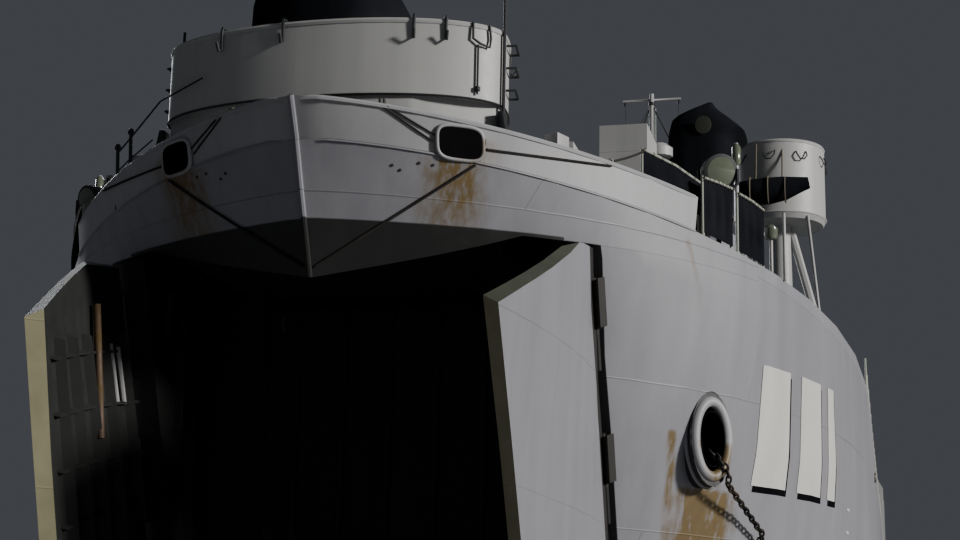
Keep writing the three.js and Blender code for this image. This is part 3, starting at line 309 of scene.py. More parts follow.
def door_paint():
    paint = Paint(plate_paint("door_grey", GREY, GREY_LOW, 0.22, 0.5, 0.5))
    x, y, z = paint.axes()
    grain = paint.noise(30.0, 3.0)
    outboard, aft = paint.facing(0) * x.sign(), paint.facing(1)
    ahead, aside = ahead_of_hinge(y, z), x.absolute() - HINGE_TOP[0]
    from_hinge = ahead * ahead + aside * aside
    edge = paint.inside((outboard, -0.2, -0.3), (aft, -0.5, -0.6), (from_hinge, 0.01, 0.012))
    top = paint.band(paint.facing(2), 0.35, 0.45)
    # The inner faces, looking inboard and aft, are painted near black: painted shade under the beak and
    # between the doors.
    inner = paint.inside((outboard, -0.15, -0.25), (aft, -0.5, -0.4)).most(paint.band(aft, 0.25, 0.35))
    colour = paint.colour_so_far()
    for mask, light, dark in ((edge, (0.34, 0.32, 0.2), (0.2, 0.19, 0.11)),
                              (top, (0.075, 0.082, 0.055), (0.04, 0.045, 0.032)),
                              (inner, (0.03, 0.032, 0.03), (0.014, 0.016, 0.015))):
        colour = paint.blend(mask, colour, paint.blend(grain, light, dark))
    # A near-black band along the hinge line is painted shadow in the slot between door and hull.
    paint.set(Base_Color=paint.blend(paint.band(from_hinge, 0.0016, 0.0015), colour, (0.02, 0.018, 0.016)))
    return paint.material


def hull_paint():
    paint = Paint(plate_paint("hull_grey", GREY, GREY_LOW, 0.22, 0.5, 0.8, HULL_RUNS, DECK_TONE, True))
    x, y, z = paint.axes()
    x, ahead = x.absolute(), ahead_of_hinge(y, z)
    # The hinge slot, the bow space and the tank walls inside the hull are painted near black: painted shade
    # where light does not reach.
    slot = paint.inside((ahead, 0.0078, 0.0070), (ahead, -0.03, -0.028), (z, 0.26, 0.27), (z, 0.868, 0.866))
    space = paint.inside((x, 0.345, 0.3435), (y, -4.425, -4.43), (z, 0.26, 0.264), (z, 0.872, 0.87))
    tank = paint.inside((x, 0.4585, 0.4575), (y, 2.56, 2.555), (z, 0.7635, 0.762), (z, 0.34, 0.349),
                        (y, -4.445, -4.44))
    shade = paint.blend(paint.noise(12.0, 3.0), (0.016, 0.017, 0.016), (0.007, 0.008, 0.008))
    paint.set(Base_Color=paint.blend(slot.most(space).most(tank).least(1.0), paint.colour_so_far(), shade))
    return paint.material


def bare_metal(name, light, dark, rust=0.5, rough=0.45, metallic=0.6):
    paint = Paint(name)
    grain = paint.noise(90.0, 4.0, 0.65)
    patches = paint.band(paint.noise(16.0, 4.0, 0.65), 0.42, 0.62)
    colour = paint.blend(paint.noise(24.0, 3.0), dark, light)
    colour = paint.blend(patches * rust, colour, paint.blend(grain, DARK_RUST, tuple(c * 0.55 for c in RUST)))
    paint.set(Base_Color=colour, Roughness=rough + patches * 0.25,
              Metallic=metallic - patches * metallic * 0.8)
    paint.set(Normal=paint.bump(grain, 0.0012, 0.5))
    return paint.material


def canvas_cloth(name, light, dark, thread=2600.0):
    paint = Paint(name)
    x, y, z = paint.axes()
    weave = ((x + y) * thread).sine() * (z * thread).sine()
    folds = paint.noise(11.0, 3.0, 0.55)
    stains = paint.band(paint.noise(5.0, 3.0), 0.45, 0.65)
    colour = paint.blend(folds, dark, light)
    colour = paint.blend(stains * 0.4, colour, tuple(c * 1.6 for c in light))
    paint.set(Base_Color=colour, Roughness=0.92 + weave * 0.04)
    paint.set(Normal=paint.bump(folds * 1.4 + weave * 0.012, 0.006, 0.6))
    paint.set(Specular_IOR_Level=0.0)
    return paint.material


def glow_glass(name, tone, rough=0.08):
    paint = Paint(name)
    haze = paint.noise(40.0, 3.0)
    paint.set(Base_Color=paint.blend(haze, tone, tuple(c * 1.6 for c in tone)), Roughness=rough + haze * 0.1)
    paint.set(Normal=paint.bump(haze, 0.0004, 0.2))
    paint.set(Coat_Weight=0.6)
    return paint.material


GREY, GREY_LOW = (0.27, 0.272, 0.295), (0.21, 0.212, 0.235)
RUST = (0.16, 0.106, 0.013)
DARK_RUST = (0.1, 0.055, 0.012)
HULL_RUNS = [
    (-4.4634, 0.5298, 0.052, 0.55, 2.4, 0.26), (-4.5408, 0.6137, 0.007, 0.3, 1.3, 0.31),
    (-4.8785, 0.958, 0.030, 0.17, 1.3, 0.43), (-4.60, 0.90, 0.006, 0.12, 0.6, 0.4),
    (-4.47, 0.62, 0.006, 0.2, 0.7, 0.3), (-3.1, 0.80, 0.012, 0.3, 0.6, 0.0),
    (-1.2, 0.76, 0.012, 0.35, 0.6, 0.0), (1.4, 0.76, 0.014, 0.35, 0.6, 0.0),
    (2.9, 0.76, 0.012, 0.3, 0.6, 0.0), (4.2, 0.76, 0.012, 0.3, 0.6, 0.0),
]
DECK_TONE = (0.045, 0.05, 0.055)
BOOT_TOP, BOOT_FOOT = (0.212, 0.208), (0.128, 0.124)
HINGE_TOP = (0.379, -4.7175, 0.860)
HINGE_RAKE = math.radians(22.0)
HINGE_SLOPE = math.tan(HINGE_RAKE)
PAINTS = {
    "hull": hull_paint(),
    "door": door_paint(),
    "bulwark": plate_paint("bulwark_pale", (0.36, 0.362, 0.375), (0.29, 0.292, 0.305), 0.1, 0.45,
                           runs=[(-4.8785, 0.99, 0.028, 0.06, 1.0, 0.43)]),
    "deck": plate_paint("deck_edge_grey", GREY, GREY_LOW, 0.2, 0.6, flats=DECK_TONE),
    "upper": plate_paint("upper_grey", (0.42, 0.42, 0.42), (0.33, 0.335, 0.335), 0.2, 0.5, 0.25),
    "tub": plate_paint("tub_grey", (0.43, 0.435, 0.425), (0.34, 0.345, 0.34), 0.15, 0.5),
    # Near-black paint for the bow space, the ramp and the door framing: painted shade of the dark space
    # behind the doors.
    "inside": plate_paint("inside_painted_shade", (0.018, 0.019, 0.018), (0.008, 0.009, 0.009), 0.3, 0.85),
    # Paler than the hull: a painted highlight on the sunlit crest of the hawse ring, with real rust at its
    # foot.
    "hawse": plate_paint("hawse_ring_pale_highlight", (0.36, 0.362, 0.375), (0.27, 0.272, 0.29), 0.2, 0.5,
                         runs=[(-4.50, 0.60, 0.03, 0.12, 2.2, 0.2)]),
    "dark": plate_paint("dark_grey", (0.02, 0.022, 0.025), (0.010, 0.011, 0.014), 0.12, 0.6),
    "white": plate_paint("white_paint", (0.66, 0.66, 0.62), (0.55, 0.55, 0.52), 0.1, 0.45),
    "steel": bare_metal("worn_steel", (0.16, 0.155, 0.15), (0.07, 0.065, 0.06)),
    "rusty": bare_metal("rusty_steel", (0.14, 0.09, 0.06), (0.06, 0.04, 0.03), 0.9, 0.6, 0.4),
    "bronze": bare_metal("cast_bronze", (0.5, 0.33, 0.14), (0.3, 0.19, 0.08), 0.12, 0.3, 0.9),
    "iron": bare_metal("chain_iron", (0.03, 0.027, 0.026), (0.012, 0.011, 0.011), 0.35, 0.6, 0.5),
    "black": plate_paint("black_shadow_paint", (0.008, 0.008, 0.009), (0.004, 0.004, 0.005), 0.1, 0.9),
    "rail": plate_paint("rail_green_grey", (0.40, 0.42, 0.36), (0.26, 0.28, 0.24), 0.15, 0.5),
    "rope": canvas_cloth("grey_rope", (0.16, 0.14, 0.11), (0.07, 0.06, 0.05), 1400.0),
    "tarred": canvas_cloth("tarred_rope", (0.045, 0.042, 0.04), (0.02, 0.018, 0.017), 1400.0),
    "canvas": canvas_cloth("canvas_dark", (0.014, 0.015, 0.018), (0.005, 0.006, 0.008)),
    "patch": canvas_cloth("canvas_patch", (0.05, 0.053, 0.043), (0.03, 0.033, 0.027)),
    "glass": glow_glass("lamp_glass", (0.09, 0.105, 0.075)),
    "pane": glow_glass("window_pane", (0.02, 0.03, 0.035)),
    "buoy": plate_paint("ring_buoy_white", (0.72, 0.71, 0.68), (0.6, 0.59, 0.56), 0.05, 0.55),
}


def paint_for(node):
    if node == "bow_bulwark":
        return "bulwark"
    if node.startswith("bow_door"):
        return "door"
    if node.startswith(("hull_", "bow_beak", "rudder")):
        return "hull"
    if "mount_cover" in node:
        return "canvas"
    if node.startswith("propeller"):
        return "bronze"
    if node in ("main_deck", "boat_deck") or node.startswith("hatch_cover"):
        return "deck"
    # The ramp and its bulkhead take the near-black inside paint, which is painted shade.
    if node in ("ramp_bulkhead", "bow_ramp"):
        return "inside"
    if node in ("bow_anchor", "bow_anchor_chain", "stern_anchor"):
        return "rusty"
    if node in ("windlass", "radar_aerial", "stern_winch"):
        return "steel"
    # The cast hawse round the lip is painted near black: painted shade on its outer flank.
    if node == "hawse_port":
        return "dark"
    if "tub" in node:
        return "tub"
    return "upper"


def floor_paint():
    paint = Paint("pale_floor")
    paint.set(Base_Color=paint.blend(paint.noise(0.6, 3.0), (0.20, 0.205, 0.22), (0.245, 0.25, 0.265)),
              Roughness=0.85 + paint.noise(3.0, 2.0) * 0.1)
    return paint.material


floor.data.materials.append(floor_paint())
Paint(PAINTS["black"]).set(Specular_IOR_Level=0.0)
for node in NODES:
    for material_slot in NODES[node].material_slots:
        material_slot.material = PAINTS[paint_for(node)]
print("painted", len(NODES), "nodes with", len(PAINTS), "paints")

# %% [markdown]
# Hand-made pieces share a few shapes: bars bent along a path, turned rings, boxes and bridged outlines. A
# small class collects them in one bmesh, so that a lamp or a ladder is one object with one finish. Joining
# primitives by operator would need the selection set each time; building the faces directly doesn't.

# %% Shape helper


def full_turn(steps):
    return [2 * math.pi * k / steps for k in range(steps)]


def circle(radius, steps, centre=(0, 0, 0), plane=(0, 1)):
    ring = []
    for a in full_turn(steps):
        point = list(centre)
        point[plane[0]] += radius * math.cos(a)
        point[plane[1]] += radius * math.sin(a)
        ring.append(point)
    return ring


def squarish(a, corners):
    return [math.copysign(abs(v) ** corners, v) for v in (math.cos(a), math.sin(a))]


def oblong(u0, v0, u1, v1):
    return [(u0, v0), (u1, v0), (u1, v1), (u0, v1)]


def turn_matrix(direction):
    return Vector(direction).to_track_quat("Z", "Y").to_matrix().to_4x4()


class Form:
    def __init__(self):
        self.bm = bmesh.new()

    def bridge(self, rings, closed=True, caps=True, loop=False):
        loops = [[self.bm.verts.new(point) for point in ring] for ring in rings]
        count = len(loops[0])
        pairs = list(zip(loops, loops[1:])) + ([(loops[-1], loops[0])] if loop else [])
        for first, second in pairs:
            for i in range(count if closed else count - 1):
                j = (i + 1) % count
                self.bm.faces.new((first[i], first[j], second[j], second[i]))
        if caps and closed and not loop:
            self.bm.faces.new(loops[0][::-1])
            self.bm.faces.new(loops[-1])
        return self

    def sheet(self, front, back):
        grids = [[[self.bm.verts.new(point) for point in row] for row in grid] for grid in (front, back)]
        for grid, way in zip(grids, (1, -1)):
            for low, high in zip(grid, grid[1:]):
                for i in range(len(low) - 1):
                    self.bm.faces.new((low[i], low[i + 1], high[i + 1], high[i])[::way])
        rims = [grid[0] + [row[-1] for row in grid[1:]] + grid[-1][-2::-1] + [row[0] for row in grid[-2:0:-1]]
                for grid in grids]
        for k in range(len(rims[0])):
            self.bm.faces.new((rims[0][k], rims[0][k - 1], rims[1][k - 1], rims[1][k]))
        return self

    def block(self, corners, ends, axis=0):
        return self.bridge([[(*corner[:axis], end, *corner[axis:]) for corner in corners] for end in ends])

    def tube(self, points, radius, sides=8, loop=False):
        points = [Vector(p) for p in points]
        count = len(points)
        tangents = []
        for i in range(count):
            before = points[i - 1] if (i or loop) else points[i]
            after = points[(i + 1) % count] if (i + 1 < count or loop) else points[i]
            tangents.append((after - before).normalized())
        side = tangents[0].orthogonal().normalized()
        rings = []
        for i, point in enumerate(points):
            side = (side - tangents[i] * side.dot(tangents[i])).normalized()
            up = tangents[i].cross(side)
            size = radius[i] if isinstance(radius, (list, tuple)) else radius
            rings.append([point + (side * math.cos(a) + up * math.sin(a)) * size
                          for a in full_turn(sides)])
        return self.bridge(rings, loop=loop)

    def turned(self, profile, centre=(0, 0, 0), sides=32, loop=False, facing=None, caps=True):
        place = Matrix.Translation(centre) @ (turn_matrix(facing) if facing else Matrix.Identity(4))
        return self.bridge([[place @ Vector((radius * math.cos(a), radius * math.sin(a), height))
                             for a in full_turn(sides)] for radius, height in profile], loop=loop, caps=caps)

    def mesh(self, name, bevel=0.0):
        bmesh.ops.remove_doubles(self.bm, verts=self.bm.verts, dist=1e-6)
        bmesh.ops.recalc_face_normals(self.bm, faces=self.bm.faces)
        if bevel:
            sharp = [e for e in self.bm.edges if len(e.link_faces) == 2 and e.calc_face_angle(0.0) > 0.6]
            bmesh.ops.bevel(self.bm, geom=sharp, offset=bevel, segments=2, profile=0.5, affect="EDGES")
        mesh = bpy.data.meshes.new(name)
        self.bm.to_mesh(mesh)
        self.bm.free()
        return mesh


def dress(name, shape, paint, body="hull", slot="upper", bevel=0.0, smooth=40.0):
    mesh = shape.mesh(name, bevel) if isinstance(shape, Form) else shape
    mesh.name = name
    mesh.materials.clear()
    mesh.materials.append(PAINTS[paint])
    mesh.polygons.foreach_set("use_smooth", [True] * len(mesh.polygons))
    mesh.set_sharp_from_angle(angle=math.radians(smooth))
    obj = bpy.data.objects.new(name, mesh)
    bpy.context.scene.collection.objects.link(obj)
    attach(obj, body)
    return obj


print("shape helper ready")

# %% [markdown]
# Pieces sit on the hull, so their places are found by shooting rays at the CAD solids: one ray down finds the
# deck, one ray sideways finds the plating. Typing the heights in by hand would leave small gaps wherever the
# deck rises.

# %% Surfaces to place things on
TREES = {}


def surface(node):
    if node not in TREES:
        mesh = NODES[node].data
        TREES[node] = BVHTree.FromPolygons([v.co for v in mesh.vertices],
                                           [list(p.vertices) for p in mesh.polygons])
    return TREES[node]


def deck_z(x, y, nodes=("main_deck", "bow_beak")):
    for step in range(14):
        inboard = Vector((x * (1 - 0.01 * step), y, 1.6))
        found = [surface(node).ray_cast(inboard, Vector((0, 0, -1)))[0] for node in nodes]
        heights = [place.z for place in found if place and place.z > 0.6]
        if heights:
            return max(heights)
    return 0.9


def plating(y, z, side=1):
    for node in ("hull_side_port" if side > 0 else "hull_side_starboard", "bow_beak", "hull_stern",
                 "hull_bottom"):
        place, normal, _, _ = surface(node).ray_cast(Vector((side * 2.0, y, z)), Vector((-side, 0, 0)))
        if place and place.x * side > 0:
            return place, normal
    return None, None


HALF_BEAM = 0.762
BOW_TIP_Y, BOW_RUN = -4.9655, 1.592
STERN_TURN_Y, STERN_RUN = 4.1, 0.898


def knuckle_half(y):
    along = min(1.0, max(0.0, (y - BOW_TIP_Y) / BOW_RUN))
    full = HALF_BEAM * (1 - (1 - along) ** 3.15) ** (1 / 1.44)
    aft = min(1.0, max(0.0, (y - STERN_TURN_Y) / STERN_RUN))
    return full * (1 - aft ** 2.6) ** (1 / 1.8)


def edge_path(y0, y1, inset, steps, side=1):
    path = []
    for i in range(steps + 1):
        y = y0 + (y1 - y0) * i / steps
        half = knuckle_half(y) - inset
        path.append(Vector((side * half, y, deck_z(side * (half - 0.004), y))))
    return path


print("deck at the bow mount", round(deck_z(0.5, -4.1), 3), "side at the hawse", plating(-4.489, 0.605)[0])

# %% [markdown]
# What repeats is grown with Geometry Nodes. One tree sets a template on points that carry their own turn and
# size, another strings rails and posts along a path, a third lays chain links end to end. Each is written
# with the same node class as the paints, ends in Realize Instances and Set Material, and its result is taken
# as a plain mesh, so the modifier is gone before the piece is fixed on.

# %% Geometry Nodes trees


SOCKET_KINDS = {"Geometry": "NodeSocketGeometry", "Template": "NodeSocketObject",
                "Finish": "NodeSocketMaterial"}


class Tree(Graph):
    def __init__(self, name, **sizes):
        self.tree = bpy.data.node_groups.new(name, "GeometryNodeTree")
        for label in (*SOCKET_KINDS, *sizes):
            kind = SOCKET_KINDS.get(label, "NodeSocketFloat")
            socket = self.tree.interface.new_socket(label, in_out="INPUT", socket_type=kind)
            if label in sizes:
                socket.default_value = sizes[label]
        self.tree.interface.new_socket("Geometry", in_out="OUTPUT", socket_type="NodeSocketGeometry")
        self.start = self.tree.nodes.new("NodeGroupInput")
        self.end = self.tree.nodes.new("NodeGroupOutput")

    def given(self, label):
        return Term(self, self.start.outputs[label])

    def close(self, *pieces):
        join = self.tree.nodes.new("GeometryNodeJoinGeometry")
        for piece in pieces:
            self.feed(join.inputs[0], piece)
        real = self.add("GeometryNodeRealizeInstances", Term(self, join.outputs[0]))
        done = self.add("GeometryNodeSetMaterial", Geometry=real, Material=self.given("Finish"))
        self.feed(self.end.inputs[0], done)
        return self.tree


def set_tree():
    tree = Tree("set_on_points")
    template = tree.add("GeometryNodeObjectInfo", tree.given("Template"), output="Geometry")
    turn = tree.add("GeometryNodeInputNamedAttribute", Name="turn", data_type="FLOAT_VECTOR")
    size = tree.add("GeometryNodeInputNamedAttribute", Name="size", data_type="FLOAT")
    turned = tree.add("FunctionNodeEulerToRotation", turn)
    return tree.close(tree.add("GeometryNodeInstanceOnPoints", Points=tree.given("Geometry"),
                               Instance=template, Rotation=turned, Scale=size))


def rail_tree(rows):
    tree = Tree(f"rails_{rows}", Height=0.1, Spacing=0.15, Post=0.002, Wire=0.001)
    height = tree.given("Height")
    path = tree.add("GeometryNodeMeshToCurve", tree.given("Geometry"))
    ring = tree.add("GeometryNodeCurvePrimitiveCircle", Resolution=6, Radius=tree.given("Wire"))
    parts = []
    for row in range(1, rows + 1):
        lift = tree.add("ShaderNodeCombineXYZ", Z=height * (row / rows))
        raised = tree.add("GeometryNodeSetPosition", Geometry=path, Offset=lift)
        parts.append(tree.add("GeometryNodeCurveToMesh", Curve=raised, Profile_Curve=ring, Fill_Caps=True))
    stops = tree.add("GeometryNodeResampleCurve", Curve=path, Length=tree.given("Spacing"), mode="LENGTH")
    rod = tree.add("GeometryNodeMeshCylinder", Vertices=8, Radius=tree.given("Post"), Depth=height)
    middle = tree.add("ShaderNodeCombineXYZ", Z=height * 0.5)
    post = tree.add("GeometryNodeTransform", Geometry=rod, Translation=middle)
    return tree.close(*parts, tree.add("GeometryNodeInstanceOnPoints", Points=stops, Instance=post))


def chain_tree():
    tree = Tree("chain_links", Pitch=0.02, Link=0.008, Wire=0.002)
    path = tree.add("GeometryNodeMeshToCurve", tree.given("Geometry"))
    stops = tree.add("GeometryNodeResampleCurve", Curve=path, Length=tree.given("Pitch"), mode="LENGTH")
    oval = tree.add("GeometryNodeCurvePrimitiveCircle", Resolution=12, Radius=tree.given("Link"))
    oval = tree.add("GeometryNodeTransform", Geometry=oval, Scale=(1.0, 0.62, 1.0))
    ring = tree.add("GeometryNodeCurvePrimitiveCircle", Resolution=6, Radius=tree.given("Wire"))
    link = tree.add("GeometryNodeCurveToMesh", Curve=oval, Profile_Curve=ring)
    along = tree.add("FunctionNodeAlignRotationToVector", Vector=tree.add("GeometryNodeInputTangent"),
                     axis="X")
    index = tree.add("GeometryNodeInputIndex")
    odd = index.maths("MODULO", index, 2.0)
    twist = tree.add("FunctionNodeAxisAngleToRotation", Axis=(1.0, 0.0, 0.0), Angle=odd * (math.pi / 2))
    turned = tree.add("FunctionNodeRotateRotation", along, twist, rotation_space="LOCAL")
    return tree.close(tree.add("GeometryNodeInstanceOnPoints", Points=stops, Instance=link, Rotation=turned))


TREE_KINDS = {"set": set_tree(), "rails_2": rail_tree(2), "rails_3": rail_tree(3), "chain": chain_tree()}


def grow(name, tree, base, **inputs):
    bpy.context.scene.collection.objects.link(base)
    modifier = base.modifiers.new("grow", "NODES")
    modifier.node_group = TREE_KINDS[tree]
    sockets = {item.name: item.identifier for item in modifier.node_group.interface.items_tree
               if item.in_out == "INPUT"}
    for label, value in inputs.items():
        modifier[sockets[label]] = value
    base.update_tag()
    grown = base.evaluated_get(bpy.context.evaluated_depsgraph_get())
    mesh = bpy.data.meshes.new_from_object(grown)
    base.modifiers.clear()
    bpy.data.objects.remove(base)
    mesh.name = name
    return mesh


def set_out(name, template, spots, paint, size=1.0, **how):
    base_mesh = bpy.data.meshes.new(name + "_spots")
    base_mesh.from_pydata([tuple(place) for place, _ in spots], [], [])
    angles = [turn if isinstance(turn, tuple) else (0, 0, turn) for _, turn in spots]
    turns = base_mesh.attributes.new("turn", "FLOAT_VECTOR", "POINT")
    turns.data.foreach_set("vector", [value for angle in angles for value in angle])
    base_mesh.attributes.new("size", "FLOAT", "POINT").data.foreach_set("value", [size] * len(spots))
    pattern = bpy.data.objects.new(name + "_template", template.mesh(name + "_template"))
    bpy.context.scene.collection.objects.link(pattern)
    base = bpy.data.objects.new(name + "_spots", base_mesh)
    mesh = grow(name, "set", base, Template=pattern, Finish=PAINTS[paint])
    bpy.data.objects.remove(pattern)
    return dress(name, mesh, paint, **how)


def along_path(name, tree, paths, paint, inputs=None, **how):
    verts, edges = [], []
    for path in paths:
        first = len(verts)
        verts += [tuple(p) for p in path]
        edges += [(first + i, first + i + 1) for i in range(len(path) - 1)]
    base_mesh = bpy.data.meshes.new(name + "_path")
    base_mesh.from_pydata(verts, edges, [])
    base = bpy.data.objects.new(name + "_path", base_mesh)
    mesh = grow(name, tree, base, Finish=PAINTS[paint], **(inputs or {}))
    return dress(name, mesh, paint, **how)


print("trees", sorted(TREE_KINDS))

# %% [markdown]
# The round tub over the bow shelters a covered mount. Its wall has a rounded rim, a lapped seam where the
# drum below begins, hooks hung over the rim, and rungs up the after side. The rim and the seam are turned
# rings; the hooks and rungs repeat, so they are set on points round the wall.

# %% Bow tub fittings
TUB = {"y": -4.810, "half": 0.265, "fore": 0.108, "aft": 0.250, "floor": 1.055, "rim": 1.167}
SIDES = (("port", 1), ("starboard", -1))


def tub_point(degrees, out, z):
    a = math.radians(degrees)
    depth = TUB["fore"] if math.sin(a) < 0 else TUB["aft"]
    normal = Vector((math.cos(a) / TUB["half"], math.sin(a) / depth, 0)).normalized()
    return Vector((TUB["half"] * math.cos(a), TUB["y"] + depth * math.sin(a), z)) + normal * out, normal


def on_tub(degrees, out, z):
    return tub_point(degrees, out, z)[0]


def tub_loop(out, z, thick, knots=8):
    return Form().tube([on_tub(360 * i / 96, out, z) for i in range(96)], thick, knots, loop=True)


dress("bow_tub_rim", tub_loop(-0.003, TUB["rim"], 0.0052), "tub")
# The seam ring is painted near black: partly a dark joint and partly a painted shadow line under the lap.
dress("bow_tub_seam", tub_loop(0.0, TUB["floor"] - 0.001, 0.0018, 6), "dark")


def hook(reach, drop, wire):
    return Form().tube([(-0.010, 0, -0.014), (-0.010, 0, 0.004), (-0.005, 0, 0.009), (0.0055, 0, 0.008),
                        (0.0065, 0, 0.002), (0.0055, 0, -drop), (reach, 0, -drop - 0.004),
                        (reach + 0.006, 0, -drop + 0.008)], wire, 8)


def tub_spots(angles, out, heights):
    spots = []
    for degrees in angles:
        for z in heights:
            place, normal = tub_point(degrees, out, z)
            spots.append((place, math.atan2(normal.y, normal.x)))
    return spots


hook_angles = [-124, -100, -56, -43.5, 20, 60, 120, 160]
set_out("bow_tub_hooks", hook(0.012, 0.026, 0.0023), tub_spots(hook_angles, -0.003, [TUB["rim"]]), "dark")
rung = Form().tube([(0, -0.02, 0), (0.014, -0.02, 0), (0.014, 0.02, 0), (0, 0.02, 0)], 0.002, 8)
rung_spots = tub_spots([6, 174], -0.001, [1.155, 1.12, 1.085]) + tub_spots([8, 172], -0.02, [1.02])
set_out("bow_tub_rungs", rung, rung_spots, "dark")
pipes = Form().tube([on_tub(*knee) for knee in (
    (-31, 0.003, TUB["rim"] + 0.004), (-31, 0.0045, 1.145), (-27, 0.0055, 1.138), (-21, 0.0045, 1.136),
    (-20, 0.0035, 1.15), (-21, 0.003, TUB["rim"] + 0.004))], 0.0019, 8)
for degrees, out, start, end, radius, sides in (
        (-28, 0.003, 1.137, TUB["floor"] + 0.006, 0.0016, 8), (-28, 0.0035, 1.072, 1.066, 0.0042, 10),
        (-8, 0.0045, 0.998, 1.262, 0.0026, 8), (-188, 0.0045, 1.01, 1.225, 0.0024, 8)):
    pipes.tube([on_tub(degrees, out, start), on_tub(degrees, out, end)], radius, sides)
dress("bow_tub_pipes", pipes, "dark")
for name, side in SIDES:
    foot = on_tub(-9 if side > 0 else -171, 0.006, 0)
    bracket = Form().bridge([[(foot.x + side * a, foot.y + c, z + b) for a, b in
                              ((-0.006, 0.0), (0.008, 0.0), (0.002, 0.034), (-0.006, 0.034))]
                             for c, z in ((-0.012, 1.008), (0.012, 1.008))])
    dress(f"bow_tub_bracket_{name}", bracket, "dark", bevel=0.0015)
lockers = Form()
for degrees in (50, 68, 90, 112, 130):
    place, u = tub_point(degrees, -0.034, 0)
    v = Vector((-u.y, u.x, 0))
    lockers.bridge([[place + u * p + v * q + Vector((0, 0, z))
                     for p, q in oblong(-0.016, -0.026, 0.016, 0.026)] for z in (1.066, 1.108, 1.114)])
dress("bow_tub_lockers", lockers, "tub", bevel=0.002)
print("bow tub hooks", len(hook_angles), "rungs", len(rung_spots))

# %% [markdown]
# The canvas over the mounts is one cloth pulled down over hard corners and lashed at the foot. A lofted shell
# with sag between the corners shows that better than a cloth simulation would on such a small, tight cover,
# and it keeps the same folds on every run. Each cover hides the plain solid that stands for it in the CAD.
# Its cut is worked out from the bare form of the mount, without folds, because that is the pattern a
# sailmaker would sew.

# %% Canvas covers


def lashed_cover(name, node, centre, levels, corners, sag, folds, seed=3, thick=0.0012, ease=0.35):
    rng = random.Random(seed)
    phases = [rng.uniform(0, 6.28) for _ in range(4)]
    rows = 30
    outer, inner = [], []
    for row in range(rows):
        t = row / (rows - 1)
        z = levels[0][0] + (levels[-1][0] - levels[0][0]) * t
        k = max(i for i in range(len(levels) - 1) if levels[i][0] <= z + 1e-9)
        low, high = levels[k], levels[k + 1]
        f = (z - low[0]) / (high[0] - low[0])
        f = f * f * (3 - 2 * f) * ease + f * (1 - ease)
        rx, ry, across = (low[j] + (high[j] - low[j]) * f for j in (1, 2, 3))
        skirt = (1 - t) ** 1.5
        ring, lining = [], []
        for a in full_turn(96):
            u, v = squarish(a, corners)
            drape = (math.sin(a * folds + phases[0] + 2.2 * t) * 0.6
                     + math.sin(a * (folds + 3) + phases[1]) * 0.4)
            sink = sag * math.sin(math.pi * t) * (0.7 + 0.3 * math.cos(4 * a))
            pull = 1 - sink + drape * sag * (0.25 + 0.5 * skirt)
            lift = 0.004 * math.sin(a * 8 + phases[2]) * skirt
            height = z + (lift if row else max(0.0, lift))
            for line, gap in ((ring, 0.0), (lining, thick)):
                line.append((centre[0] + across + max(rx - gap, 0.001) * u * pull,
                             centre[1] + max(ry - gap, 0.001) * v * pull, height - gap * t))
        outer.append(ring)
        inner.append(lining)
    cover = dress(name, Form().bridge(inner[::-1] + outer), "canvas", slot="canvas", smooth=70)
    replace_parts(cover, node)
    return cover


def quad_area(a, b, c, d):
    return ((b - a).cross(c - a).length + (c - a).cross(d - a).length) / 2


def cut_size(levels, corners, around=96):
    rounds = [squarish(a, corners) for a in full_turn(around)]
    rings = [[Vector((across + rx * u, ry * v, z)) for u, v in rounds] for z, rx, ry, across in levels]
    rings.append([sum(rings[-1], Vector()) / around] * around)
    area, length = 0.0, 0.0
    for low, high in zip(rings, rings[1:]):
        area += sum(quad_area(low[i - 1], low[i], high[i], high[i - 1]) for i in range(around))
        length += sum((high[i] - low[i]).length for i in range(around)) / around
    girth = max(sum((ring[i] - ring[i - 1]).length for i in range(around)) for ring in rings)
    return girth, length, area


def declare_cover(cover, levels, corners):
    girth, length, area = cut_size(levels, corners)
    sewn = sum(face.area for face in cover.data.polygons) / 2
    print(cover.name, "cut", [round(v, 4) for v in (girth, length, area)], "shaped", round(sewn, 4))


def lashing(name, centre, rx, ry, z, wire, corners):
    loop = []
    for a in full_turn(64):
        u, v = squarish(a, corners)
        loop.append((centre[0] + rx * u, centre[1] + ry * v, z + 0.003 * math.sin(5 * a)))
    return dress(name, Form().tube(loop, wire, 6, loop=True), "rope", slot="canvas")


BOW_MOUNT, STERN_MOUNT = (-0.04, -4.715), (0, 4.52)
BOW_COVER = [(1.0645, 0.124, 0.124, 0), (1.12, 0.128, 0.128, 0), (1.26, 0.122, 0.116, 0),
             (1.312, 0.096, 0.088, 0), (1.328, 0.06, 0.05, 0)]
cover = lashed_cover("bow_canvas", "bow_mount_cover", BOW_MOUNT, BOW_COVER, 0.7, 0.03, 7, seed=5)
rope = lashing("bow_canvas_rope", BOW_MOUNT, 0.129, 0.129, 1.20, 0.003, 0.7)
declare_cover(cover, BOW_COVER, 0.7)
TENT = [(1.0105, 0.050, 0.076, -0.018), (1.09, 0.053, 0.077, -0.018), (1.175, 0.057, 0.074, -0.018),
        (1.194, 0.069, 0.072, -0.005), (1.222, 0.051, 0.055, -0.017), (1.238, 0.027, 0.042, -0.012),
        (1.2515, 0.006, 0.030, 0.0)]
for name, side in SIDES:
    levels = [(z, rx, ry, side * across) for z, rx, ry, across in TENT]
    tent = lashed_cover(f"tent_canvas_{name}", f"fore_mount_cover_{name}", (side * 0.505, -4.184), levels,
                        0.5, 0.012, 5, seed=8, ease=0.0)
    tie = lashing(f"tent_rope_{name}", (side * 0.487, -4.184), 0.0535, 0.0785, 1.045, 0.0022, 0.7)
    declare_cover(tent, levels, 0.5)
